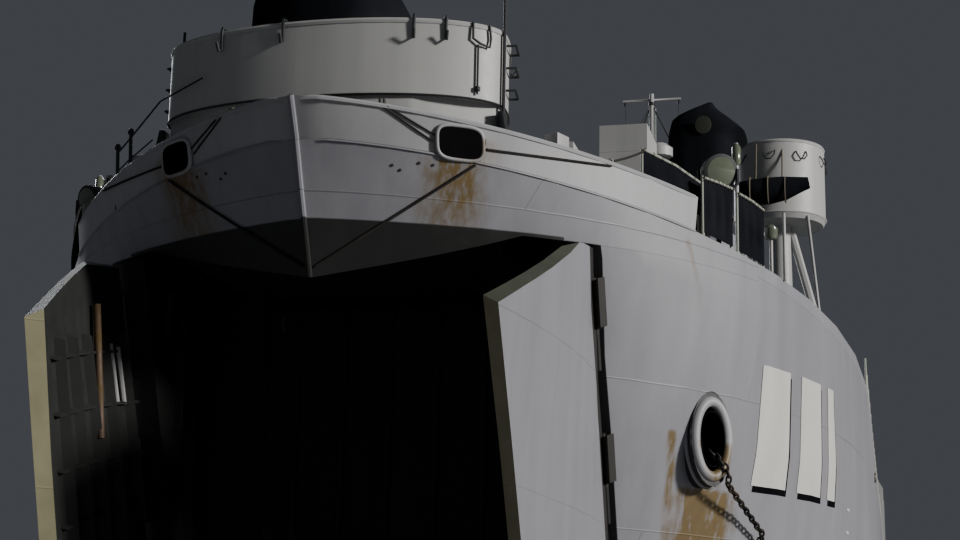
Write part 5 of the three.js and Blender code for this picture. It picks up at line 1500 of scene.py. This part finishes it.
float_line = [(0.05 * u, 0.085 * v, 0.014) for u, v in (squarish(a, 0.6) for a in full_turn(36))]
float_ring = Form().tube(float_line, 0.0125, 10, loop=True)
for y in (-0.06, -0.036, -0.012, 0.012, 0.036, 0.06):
    float_ring.tube([(-0.046, y, 0.012), (0.046, y, 0.012)], 0.0032, 6)
float_spots = [((side * x, y, BOAT_DECK + 0.0005), 0) for _, side in SIDES
               for x, y in ((0.345, 2.32), (0.345, 2.75), (0.27, 3.22))]
set_out("life_floats", float_ring, float_spots, "upper", slot="upper")
print("lashing rings", len(ring_spots), "ring buoys", len(buoy_spots))

# %% [markdown]
# The hatch coaming has cleats along its sides, and its two leaves are stiffened with cross bars that swing
# with them. The boom carries bands, eyes and a cargo hook, all of which ride with the boom.

# %% Hatch and boom
leaf_low, leaf_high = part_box("hatch_cover_port")
coaming_low, coaming_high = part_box("hatch_coaming")
cleat = Form().block([(0.0, 0.0), (0.011, 0.004), (0.011, 0.010), (0.0, 0.016)], (-0.005, 0.005), 1)
cleat_z, cleat_spots = coaming_high[2] - 0.034, []
for i in range(6):
    y = coaming_low[1] + 0.07 + i * 0.088
    cleat_spots += [((coaming_high[0], y, cleat_z), 0), ((coaming_low[0], y, cleat_z), math.pi)]
for x in (-0.11, -0.04, 0.04, 0.11):
    cleat_spots += [((x, coaming_high[1], cleat_z), math.pi / 2),
                    ((x, coaming_low[1], cleat_z), -math.pi / 2)]
set_out("coaming_cleats", cleat, cleat_spots, "dark", slot="steel")
for name, side in SIDES:
    bars = Form()
    for i in range(6):
        y = leaf_low[1] + 0.05 + i * (leaf_high[1] - leaf_low[1] - 0.10) / 5
        bars.block([(y + dy, z) for dy, z in ((-0.003, 0.0), (0.003, 0.0), (0.0018, 0.005),
                                              (-0.0018, 0.005))],
                   (side * (leaf_low[0] + 0.01), side * 0.146))
    leaf_top = surface(f"hatch_cover_{name}").ray_cast(Vector((side * 0.08, -1.62, 1.2)),
                                                       Vector((0, 0, -1)))[0].z
    mesh = bars.mesh(f"hatch_bars_{name}")
    mesh.transform(Matrix.Translation((0, 0, leaf_top)))
    dress(f"hatch_bars_{name}", mesh, "upper", body=f"hatch_cover_{name}", slot="deck")
BOOM_HEEL, BOOM_RISE, BOOM_LENGTH = Vector((0, -1.321, 0.88)), math.radians(10), 0.64
boom_line = Vector((0, -math.cos(BOOM_RISE), math.sin(BOOM_RISE)))
bands = Form()
for share, radius in ((0.08, 0.0082), (0.35, 0.0078), (0.65, 0.0068), (0.93, 0.0062), (0.985, 0.006)):
    bands.turned(oblong(radius - 0.002, -0.005, radius + 0.0012, 0.005),
                 BOOM_HEEL + boom_line * (BOOM_LENGTH * share), 20, facing=boom_line, loop=True)
boom_tip = BOOM_HEEL + boom_line * (BOOM_LENGTH * 0.965)
for bend in (((0, -0.004), (0, -0.012)), ((0, -0.012), (-0.005, -0.019), (0, -0.026), (0.006, -0.021))):
    bands.tube([boom_tip + Vector((0, y, z)) for y, z in bend], 0.0016, 6)
dress("boom_bands", bands, "steel", body="cargo_boom", slot="steel")
smooth_copy("cargo_boom", 50)
print("hatch leaf top", round(leaf_top, 4))

# %% [markdown]
# Deckhouse, bridge and pilot house are plain plate boxes, so what makes them a ship's house are watertight
# doors with their dogs, brass-rimmed portholes, framed windows and handrails. Each is one template that faces
# +X, set on points that carry the wall's bearing.

# %% House fittings
TO_PORT, ABEAM = (1, 0, 0), ((1, 0.0), (-1, math.pi))
FORE_WALL, AFT_WALL = -math.pi / 2, math.pi / 2
DECK_LEVEL = deck_z(0.5, 3.0)
door = Form().block(oblong(-0.030, 0.016, 0.030, 0.176), (-0.001, 0.0042))
door.tube([(0.002, y, z) for y, z in oblong(-0.035, 0.010, 0.035, 0.182)], 0.0026, 6, loop=True)
dog_handles = Form()
for y, z, way in ((-0.031, 0.04, 1), (-0.031, 0.096, 1), (-0.031, 0.15, 1), (0.031, 0.06, -1),
                  (0.031, 0.135, -1)):
    dog_handles.tube([(0.004, y, z), (0.0075, y, z), (0.0075, y + way * 0.014, z - 0.008)], 0.0018, 5)
for z in (0.05, 0.145):
    dog_handles.tube([(0.003, 0.036, z - 0.008), (0.003, 0.036, z + 0.008)], 0.0034, 6)
doors, holes = [], []
windows = [((x, 2.2298, 1.365), FORE_WALL) for x in (-0.09, -0.03, 0.03, 0.09)]
for side, bearing in ABEAM:
    doors += [((side * 0.4302, y, DECK_LEVEL), bearing) for y in (2.34, 2.98, 3.70)]
    doors += [((side * 0.2502, 2.62, BOAT_DECK), bearing),
              ((side * 0.4212, -4.36, deck_z(side * 0.44, -4.36)), bearing)]
    holes += [((side * 0.4302, y, 0.935), bearing) for y in (2.50, 2.66, 2.82, 3.14, 3.30, 3.46, 3.56)]
    holes += [((side * 0.2502, y, 1.165), bearing) for y in (2.28, 2.42, 2.76, 2.88)]
    windows += [((side * 0.1752, y, 1.365), bearing) for y in (2.33, 2.40, 2.47)]
    windows += [((side * 0.1452, 2.2598, 1.365), bearing - side * math.pi / 4)]
for x in (-0.24, 0.24):
    doors += [((x, 2.0998, DECK_LEVEL), FORE_WALL), ((x, 3.9002, DECK_LEVEL), AFT_WALL)]
doors += [((0.0, 2.9502, BOAT_DECK), AFT_WALL), ((0.08, 2.5602, BRIDGE_TOP), AFT_WALL)]
for x in (-0.34, -0.12, 0.0, 0.12, 0.34):
    holes += [((x, 2.0998, 0.935), FORE_WALL), ((x, 3.9002, 0.935), AFT_WALL)]
holes += [((x, 2.1498, 1.165), FORE_WALL) for x in (-0.14, 0.0, 0.14)]
set_out("house_doors", door, doors, "upper")
set_out("door_dogs", dog_handles, doors, "dark", slot="steel")
port_ring = Form().turned([(0.0125, -0.001), (0.0185, -0.001), (0.0185, 0.0022), (0.0155, 0.004),
                           (0.0125, 0.003)], sides=20, facing=TO_PORT, loop=True)
port_glass = Form().turned([(0, 0.0004), (0.013, 0.0004), (0.013, 0.0016), (0, 0.0020)], sides=20,
                           facing=TO_PORT)
set_out("porthole_rings", port_ring, holes, "bronze", slot="bronze")
set_out("porthole_glass", port_glass, holes, "pane", slot="steel")
window_frame = Form().tube([(0.002, y, z) for y, z in oblong(-0.024, -0.026, 0.024, 0.026)], 0.0032, 6,
                           loop=True)
window_frame.tube([(0.002, -0.026, 0.034), (0.012, -0.026, 0.032), (0.012, 0.026, 0.032),
                   (0.002, 0.026, 0.034)], 0.0014, 5)
pane = Form().block(oblong(-0.023, -0.025, 0.023, 0.025), (-0.0005, 0.0018))
set_out("pilot_window_frames", window_frame, windows, "upper")
set_out("pilot_windows", pane, windows, "pane", slot="steel")
handrails = Form()
for _, side in SIDES:
    for x, y0, y1, z in ((0.4302, 2.40, 2.92, 0.900), (0.4302, 3.04, 3.64, 0.900),
                         (0.2502, 2.22, 2.56, 1.105)):
        handrails.tube([(side * (x + out), y, z) for out, y in (
            (0, y0), (0.010, y0 + 0.004), (0.010, y1 - 0.004), (0, y1))], 0.0018, 6)
dress("house_handrails", handrails, "rail", slot="steel")
print("doors", len(doors), "portholes", len(holes), "windows", len(windows))

# %% [markdown]
# Ladders join the decks: two steep ones aft and upright ones on the houses, the pilot house and both masts. A
# ladder is two strings and equal treads between two points, so one function builds them all.

# %% Ladders


def ladder(form, foot, head, half, tread, gap=0.028, string=0.003):
    foot, head, across = Vector(foot), Vector(head), Vector((half, 0, 0))
    for way in (-1, 1):
        form.tube([foot + across * way, head + across * way], string, 6)
    count = int((head - foot).length / gap)
    for i in range(1, count):
        middle = foot.lerp(head, i / count)
        form.tube([middle - across, middle + across], tread, 6)


ladders = Form()
MAST_LADDER = {"half": 0.013, "tread": 0.0012, "gap": 0.034, "string": 0.0014}
ladder(ladders, (0.0, 4.10, DECK_LEVEL), (0.0, 3.958, 1.022), 0.036, 0.0030)
for _, side in SIDES:
    ladder(ladders, (side * 0.10, 2.962, 1.021), (side * 0.10, 2.956, 1.242), 0.022, 0.0018)
    ladders.tube([(side * 0.034, 4.10, DECK_LEVEL + 0.05), (side * 0.034, 3.965, 1.10),
                  (side * 0.034, 3.955, 1.03)], 0.0018, 6)
    ladder(ladders, (side * 0.12, 2.566, 1.241), (side * 0.12, 2.566, 1.44), 0.020, 0.0016)
ladder(ladders, (0.0, 2.764, 1.25), (0.0, 2.752, 2.84), **MAST_LADDER)
ladder(ladders, (0.0, -1.266, 0.80), (0.0, -1.280, 2.25), **MAST_LADDER)
dress("ladders", ladders, "rail", slot="steel")
print("ladders done")

# %% [markdown]
# Masts carry stays, halyards, lamps and blocks. Stays are wire rope pulled tight to the deck, so they are
# straight and end in a turnbuckle.

# %% Masts and rigging
MAIN_MAST_Y, CARGO_MAST_Y, AERIAL_Y = 2.74, -1.29, 2.7345
rigging, screws = Form(), Form()
STAYS = [
    ((0.0, CARGO_MAST_Y, 2.262), (0.700, -1.66, 0.800)), ((0.0, CARGO_MAST_Y, 2.262), (0.700, -0.92, 0.800)),
    ((0.0, MAIN_MAST_Y, 2.850), (0.236, 2.925, 1.243)), ((0.0, MAIN_MAST_Y, 2.440), (0.170, 2.545, 1.443)),
]
HALYARDS = [
    ((0.155, MAIN_MAST_Y, 2.478), (0.150, 2.86, 1.243)), ((0.095, MAIN_MAST_Y, 2.478), (0.120, 2.88, 1.243)),
    ((0.098, CARGO_MAST_Y, 2.275), (0.030, -1.27, 0.830)),
]
SCREW_SHAPE = [(0, 0.0022), (0.014, 0.0022), (0.016, 0.0036), (0.044, 0.0036), (0.046, 0.0022),
               (0.058, 0.0022)]
for _, side in SIDES:
    for ends in STAYS:
        head, foot = (Vector((side * x, y, z)) for x, y, z in ends)
        foot.z = foot.z if foot.z > 1.2 else deck_z(foot.x, foot.y)
        rigging.tube([head, foot], 0.0016, 6)
        pull = (head - foot).normalized()
        screws.tube([foot + pull * way for way, _ in SCREW_SHAPE], [radius for _, radius in SCREW_SHAPE], 8)
    for ends in HALYARDS:
        rigging.tube([(side * x, y, z) for x, y, z in ends], 0.0009, 5)
dress("stays_and_halyards", rigging, "tarred", slot="steel")
dress("turnbuckles", screws, "steel", slot="steel")
mast_gear = Form()
for y, z in ((2.722, 2.62), (2.722, 2.30), (2.72, 1.95), (-1.306, 2.05), (-1.306, 1.80)):
    mast_gear.turned([(0, 0), (0.010, 0.0), (0.010, 0.004), (0.0075, 0.006), (0.0075, 0.022), (0.011, 0.024),
                      (0.004, 0.031), (0, 0.032)], (0, y - 0.012, z), 16)
    mast_gear.tube([(0, y + 0.012, z + 0.002), (0, y - 0.012, z + 0.001)], 0.003, 6)
for _, side in SIDES:
    for x, y, z in ((0.155, MAIN_MAST_Y, 2.474), (0.095, MAIN_MAST_Y, 2.474), (0.098, CARGO_MAST_Y, 2.272)):
        mast_gear.turned([(0, -0.012), (0.004, -0.011), (0.006, -0.006), (0.004, -0.001), (0, 0)],
                         (side * x, y, z), 12)
for y, inner, places in (
        (MAIN_MAST_Y, 0.002, ((1.60, 0.0185), (1.9985, 0.0165), (2.20, 0.0155), (2.455, 0.0142),
                              (2.505, 0.0142))),
        (CARGO_MAST_Y, 0.003, ((1.10, 0.0158), (1.60, 0.0130), (2.262, 0.0100)))):
    for z, radius in places:
        mast_gear.turned(oblong(radius - inner, -0.006, radius + 0.0015, 0.006), (0, y, z), 24, loop=True)
dress("mast_fittings", mast_gear, "dark", slot="steel")
aerial_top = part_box("radar_aerial")[1][2]
mesh_bars = Form()
for i in range(12):
    x = -0.053 + 0.106 * i / 11
    mesh_bars.tube([(x, AERIAL_Y, aerial_top - 0.021), (x, AERIAL_Y, aerial_top - 0.001)], 0.0008, 5)
for drop in (0.002, 0.008, 0.014, 0.020):
    mesh_bars.tube([(x, AERIAL_Y, aerial_top - drop) for x in (-0.0545, 0.0545)], 0.0008, 5)
mesh_bars.tube([(0, y, aerial_top - 0.012) for y in (AERIAL_Y, 2.713)], 0.0013, 6)
mesh_bars.turned([(0, 0), (0.006, 0.001), (0.007, 0.004), (0, 0.006)], (0, 2.7175, aerial_top - 0.012), 12,
                 facing=(0, -1, 0))
dress("aerial_mesh", mesh_bars, "dark", body="radar_aerial", slot="steel")
print("stays", 2 * len(STAYS))

# %% [markdown]
# The ship's boats are open landing boats with a bow ramp. Gunwale bead, fender strakes, ribs, an engine box
# and a wheel make them, and sheave blocks with wire falls hold them to the davits.

# %% Boats and davits
BOAT_X, DAVIT_X, WHEEL_RADIUS = 0.585, 0.716, 0.018
UPPER_BLOCK, LOWER_BLOCK, DRUM_Z = 1.322, 1.186, 0.93
BOAT_SHAPE = [
    (2.190, 0.095, 0.070, 1.110, 1.246), (2.330, 0.126, 0.090, 1.072, 1.240),
    (2.560, 0.138, 0.108, 1.048, 1.234), (2.900, 0.140, 0.115, 1.040, 1.230),
    (3.280, 0.130, 0.110, 1.050, 1.230),
]
STATIONS = [2.19, 2.26, 2.33, 2.45, 2.56, 2.73, 2.90, 3.09, 3.28]


def boat_at(y):
    k = min(3, max(i for i in range(5) if BOAT_SHAPE[i][0] <= y + 1e-9))
    low, high = BOAT_SHAPE[k], BOAT_SHAPE[k + 1]
    f = (y - low[0]) / (high[0] - low[0])
    return [low[j] + (high[j] - low[j]) * f for j in range(1, 5)]


def gunwale(side, way, stations, out=0.0, drop=0.0, inset=0.0):
    line = []
    for y in stations:
        half, _, _, high = boat_at(y)
        shift = inset if y < 2.2 else -inset if y > 3.27 else 0
        line.append((side * (BOAT_X + way * (half + out)), y + shift, high - drop))
    return line


def hand_wheel(form, centre, radius, plane, steps, rim, spoke, angles):
    form.tube(circle(radius, steps, centre, plane), rim, 6, loop=True)
    for a in angles:
        end = list(centre)
        end[plane[0]] += radius * math.cos(a)
        end[plane[1]] += radius * math.sin(a)
        form.tube([centre, end], spoke, 5)


for name, side in SIDES:
    wood, metal, falls, blocks = Form(), Form(), Form(), Form()
    wood.tube(gunwale(side, 1, STATIONS, -0.003, inset=0.004)
              + gunwale(side, -1, STATIONS[::-1], -0.003, inset=0.004), 0.0058, 8, loop=True)
    for drop in (0.030, 0.058):
        for way in (-1, 1):
            wood.tube(gunwale(side, way, STATIONS[1:], 0.001, drop), 0.0038, 6)
    for y in (2.26 + 0.096 * i for i in range(11)):
        half, foot, low, high = boat_at(y)
        for way in (-1, 1):
            wood.tube([(side * (BOAT_X + way * reach), y, z) for reach, z in (
                (half - 0.0095, high - 0.008), (half - 0.0095, low + (high - low) * 0.36),
                (foot - 0.012, low + 0.012))], 0.0024, 6)
    for i in range(5):
        x = BOAT_X - 0.06 + 0.03 * i
        wood.tube([(side * x, y, boat_at(y)[2] + 0.011) for y in (2.25, 3.24)], 0.0022, 6)
    dress(f"boat_strakes_{name}", wood, "upper")
    low = boat_at(2.9)[2] + 0.010
    metal.block([(side * (BOAT_X + x), y) for x, y in oblong(-0.04, 2.80, 0.04, 3.02)],
                (low, low + 0.076, low + 0.082), 2)
    for y in (2.84, 2.88, 2.92, 2.96):
        metal.tube([(side * (BOAT_X + x), y, low + 0.083) for x in (-0.03, 0.03)], 0.0022, 6)
    stand_x, stand_foot = side * (BOAT_X + 0.065), boat_at(3.18)[2] + 0.010
    metal.turned([(0, 0), (0.011, 0.0), (0.011, 0.006), (0.004, 0.008), (0.004, 0.05), (0, 0.051)],
                 (stand_x, 3.18, stand_foot), 16)
    hand_wheel(metal, (stand_x, 3.176, stand_foot + 0.052), WHEEL_RADIUS, (0, 2), 18, 0.0018, 0.0013,
               (0.5, 2.6, 4.7))
    dress(f"boat_gear_{name}", metal, "dark", bevel=0.0012)
    for y in (2.42, 3.12):
        for z in (UPPER_BLOCK, LOWER_BLOCK):
            for way in (-1, 1):
                blocks.turned([(0, 0), (0.0125, 0.0), (0.0135, 0.0015), (0.0125, 0.003), (0, 0.003)],
                              (side * BOAT_X, y + way * 0.0062, z), 18, facing=(0, way, 0))
            blocks.tube([(side * BOAT_X, y - 0.009, z), (side * BOAT_X, y + 0.009, z)], 0.0026, 8)
        for x in (BOAT_X - 0.0095, BOAT_X + 0.0095):
            for shift in (0.0055, -0.0055):
                falls.tube([(side * x, y + shift, z) for z in (UPPER_BLOCK, LOWER_BLOCK)], 0.0011, 5)
        blocks.turned([(0, -0.018), (0.015, -0.018), (0.015, -0.015), (0.008, -0.013), (0.008, 0.013),
                       (0.015, 0.015), (0.015, 0.018), (0, 0.018)],
                      (side * DAVIT_X, y, DRUM_Z), 18, facing=(0, 1, 0))
        blocks.tube([(side * DAVIT_X, y, DRUM_Z), (side * (DAVIT_X + 0.016), y, DRUM_Z)], 0.006, 8)
        falls.tube([(side * 0.722, y + 0.002, 0.938), (side * 0.7185, y + 0.002, 1.243),
                    (side * 0.702, y + 0.002, 1.318)], 0.0011, 5)
    dress(f"davit_blocks_{name}", blocks, "dark", slot="steel")
    dress(f"davit_falls_{name}", falls, "tarred", slot="steel")
print("boats and davits fitted")

# %% [markdown]
# Along the hull lie overboard outlets with a lip, engine exhausts aft, zinc blocks on the bottom and short
# draught ticks at bow and stern, which carry no figures. Each is found on the plating by a ray from outboard.

# %% Hull side fittings
outlet = Form().turned([(0.007, -0.003), (0.011, -0.003), (0.012, 0.001), (0.010, 0.004), (0.007, 0.004)],
                       sides=18, facing=TO_PORT, loop=True)
outlet.turned([(0, 0.0), (0.0085, 0.0), (0.0085, 0.001), (0, 0.001)], sides=14, facing=TO_PORT)
pipe = Form().turned([(0.013, -0.004), (0.020, -0.004), (0.020, 0.004), (0.017, 0.016), (0.013, 0.016)],
                     sides=22, facing=TO_PORT, loop=True)
pipe.turned([(0, 0.002), (0.015, 0.002), (0.015, 0.003), (0, 0.003)], sides=18, facing=TO_PORT)
tick = Form().block(oblong(-0.009, -0.0022, 0.009, 0.0022), (-0.001, 0.0012))
zinc = Form().bridge([[(x, y * k, z * k) for y, z in oblong(-0.03, -0.010, 0.03, 0.010)]
                      for x, k in ((-0.002, 1.0), (0.005, 0.82))])


def on_plating(places):
    spots = []
    for _, side in SIDES:
        for y, z in places:
            place, normal = plating(y, z, side)
            if place:
                spots.append((place, (0, math.asin(max(-1, min(1, -normal.z))),
                                      math.atan2(normal.y, normal.x))))
    return spots


set_out("overboard_outlets", outlet, on_plating([
    (-3.1, 0.700), (-1.2, 0.66), (1.4, 0.66), (2.9, 0.66), (4.2, 0.68), (-2.2, 0.30), (0.3, 0.30),
    (2.2, 0.30)]), "steel", slot="hull")
set_out("exhaust_outlets", pipe, on_plating([(3.05, 0.52), (3.40, 0.52)]), "rusty", slot="steel")
ticks = [(y, 0.14 + 0.04 * i) for y in (-4.02, 3.9) for i in range(11)]
set_out("draught_ticks", tick, on_plating(ticks), "white", slot="hull")
set_out("zinc_blocks", zinc, on_plating([(y, 0.075) for y in (-2.4, -1.2, 0.0, 1.2, 2.4, 3.4)]), "steel",
        slot="bottom")
dots = Form()
for x, y, z in ((0.1261, -4.914, 0.9443), (0.1359, -4.9066, 0.9386), (0.162, -4.9007, 0.9495),
                (0.1801, -4.8911, 0.9484)):
    for _, side in SIDES:
        near, normal = surface("bow_beak").find_nearest(Vector((side * x, y, z)))[:2]
        dots.turned([(0, -0.001), (0.0022, -0.001), (0.0022, 0.0012), (0, 0.0016)], near, 10, facing=normal)
dress("plate_studs", dots, "dark", slot="hull")
print("ticks", 2 * len(ticks))

# %% [markdown]
# Aft stand the stern winch with its wire, the stern anchor in its rack, a staff and ready lockers. The
# conning tub has its compass stand and voice pipe. These are single pieces, turned or bridged where they
# stand.

# %% Winches, lockers and stern
WINCH_Y, WINCH_Z, DRUM_HALF, WIRE_RADIUS = 4.18, 0.822, 0.054, 0.0278
WINDLASS_Y, AXLE_Z = -4.230, 0.960
TURNS, PER_TURN = 9, 20
wire = []
for i in range(TURNS * PER_TURN + 1):
    a = 2 * math.pi * i / PER_TURN
    wire.append((-DRUM_HALF + 2 * DRUM_HALF * i / (TURNS * PER_TURN), WINCH_Y + WIRE_RADIUS * math.cos(a),
                 WINCH_Z + WIRE_RADIUS * math.sin(a)))
reel = Form().tube(wire, 0.0022, 5)
reel.tube([(0.045, 4.206, 0.832), (0.1185, 4.50, DECK_LEVEL + 0.020), (0.1185, 4.54, DECK_LEVEL + 0.020),
           (0.028, 4.950, DECK_LEVEL + 0.018)], 0.0018, 6)
dress("stern_wire", reel, "tarred", slot="steel")
winch_gear, heads = Form(), Form()
for way in (-1, 1):
    winch_gear.turned([(0, -0.003), (0.047, -0.003), (0.049, 0.0), (0.047, 0.003), (0, 0.003)],
                      (way * 0.069, WINCH_Y, WINCH_Z), 28, facing=TO_PORT)
    winch_gear.tube([(way * 0.078, y, z) for y, z in ((4.15, 0.79), (4.08, 0.85), (4.08, 0.87))], 0.0028, 6)
    heads.turned([(0, -0.026), (0.029, -0.026), (0.029, -0.021), (0.0225, -0.014), (0.0225, 0.014),
                  (0.029, 0.021), (0.029, 0.026), (0, 0.026)],
                 (way * 0.098, WINDLASS_Y, AXLE_Z), 24, facing=TO_PORT)
    hand_wheel(heads, (way * 0.132, WINDLASS_Y, AXLE_Z), 0.024, (1, 2), 20, 0.0025, 0.0018, (0.3, 2.4, 4.5))
for z, radius in ((0.0, 0.013), (0.02, 0.009), (0.034, 0.012)):
    winch_gear.turned([(0, z), (radius, z), (radius, z + 0.006), (0, z + 0.008)], (0.16, 4.26, DECK_LEVEL),
                      18)
winch_gear.turned([(0, -0.001), (0.012, 0.0), (0.012, 0.006), (0.007, 0.010), (0.007, 0.030), (0.011, 0.034),
                   (0, 0.036)], (0.1085, 4.52, DECK_LEVEL), 18)
winch_gear.tube([(0, 4.945, DECK_LEVEL - 0.002), (0, 4.962, DECK_LEVEL + 0.34)], 0.0026, 8)
winch_gear.turned([(0, 0), (0.005, 0.002), (0.006, 0.006), (0, 0.011)], (0, 4.9622, DECK_LEVEL + 0.338), 12)
dress("winch_gear", winch_gear, "dark", slot="steel")
dress("windlass_heads", heads, "steel", slot="steel")
locker = Form().bridge([[(x * k, y * k, z) for x, y in oblong(-0.035, -0.022, 0.035, 0.022)]
                        for z, k in ((0.0, 1.0), (0.042, 1.0), (0.0422, 1.07), (0.047, 1.07), (0.052, 0.9))])
for x in (-0.022, 0.022):
    locker.tube([(x, -0.024, 0.046), (x, -0.026, 0.036)], 0.002, 5)
locker_spots = [((side * x, y, level or deck_z(x, y)), bearing) for _, side in SIDES
                for x, y, level, bearing in (
    (0.46, 3.50, BOAT_DECK, 1.57), (0.46, 3.64, BOAT_DECK, 1.57), (0.19, 2.75, BRIDGE_TOP, 1.57),
    (0.24, 4.33, None, 0.4), (0.30, 4.70, None, 0.9), (0.38, -3.62, None, 0.0), (0.46, -3.62, None, 0.0))]
set_out("ready_lockers", locker, locker_spots, "upper")
conning = Form().turned([(0, 0), (0.020, 0.0), (0.020, 0.005), (0.010, 0.010), (0.009, 0.070), (0.017, 0.076),
                         (0.018, 0.092), (0.010, 0.104), (0, 0.106)], (0, 2.40, 1.4465), 24)
for _, side in SIDES:
    conning.tube([(side * 0.07, 2.30, 1.446), (side * 0.07, 2.30, 1.53), (side * 0.066, 2.306, 1.545),
                  (side * 0.058, 2.318, 1.549)], 0.0045, 10)
dress("compass_stand", conning, "bronze", slot="bronze")
for node in ("boat_port", "boat_starboard", "rudder_port", "rudder_starboard"):
    smooth_copy(node, 30)
print("lockers", len(locker_spots))

# %% [markdown]
# The two anchors are stockless: a tapered shank, a rounded crown and two pointed flukes. One function lays
# their sections out from the foot of the anchor, so the bow and stern anchors differ only in size and in
# where they hang.

# %% Anchors


def anchor_form(foot, across, out, tall, tip, reach, thick):
    def at(a, o, up):
        return foot + across * a + out * o + Vector((0, 0, up))

    form = Form().bridge([[at(a * w * thick, o * w * thick, up) for a, o in oblong(-1, -1, 1, 1)]
                          for up, w in ((thick, 0.62), (tall * 0.5, 0.5), (tall, 0.4))])
    crown = ((-1.0, 0.5), (-0.8, 0.82), (-0.35, 0.95), (0.0, 1.05), (0.35, 0.95), (0.8, 0.82), (1.0, 0.5))
    form.bridge([[at(a * reach * 0.84, thick * size * math.cos(t), thick * 1.1 * (1 + size * math.sin(t)))
                  for t in full_turn(12)] for a, size in crown])
    blade = ((0.06, 0.80, 0.18, 0.8), (0.26, 0.88, 0.28, 0.66), (0.5, 0.97, 0.26, 0.46),
             (0.76, 1.05, 0.15, 0.28), (1.0, 1.1, 0.015, 0.05))
    for s in (-1, 1):
        form.bridge([[at(reach * (s * a + w * math.cos(t)), d * thick * math.sin(t), up * tip)
                      for t in full_turn(12)] for up, a, w, d in blade])
    ring = thick * 0.62
    form.tube([at(ring * math.cos(t), 0, tall + ring * math.sin(t)) for t in full_turn(12)], thick * 0.17, 8,
              loop=True)
    return form


ANCHOR_HEADING = math.radians(-36)
bow_out = Vector((math.cos(ANCHOR_HEADING), math.sin(ANCHOR_HEADING), 0))
bow_across = Vector((-bow_out.y, bow_out.x, 0))
bow_form = anchor_form(ANCHOR - Vector((0, 0, 0.144)), bow_across, bow_out, tall=0.144, tip=0.078,
                       reach=0.041, thick=0.011)
bow_form.bridge([[ANCHOR + bow_out * out + bow_across * a + Vector((0, 0, z))
                  for a, out in oblong(-0.005, -0.034, 0.005, 0.004)] for z in (-0.014, -0.004)])
stern_form = anchor_form(Vector((0, 5.003, 0.552)), Vector((1, 0, 0)), Vector((0, 1, 0)), tall=0.248,
                         tip=0.108, reach=0.053, thick=0.0098)
for end, form in (("bow", bow_form), ("stern", stern_form)):
    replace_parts(dress(f"{end}_anchor_cast", form, "rusty", slot="steel", bevel=0.0008), f"{end}_anchor")
print("anchors done")
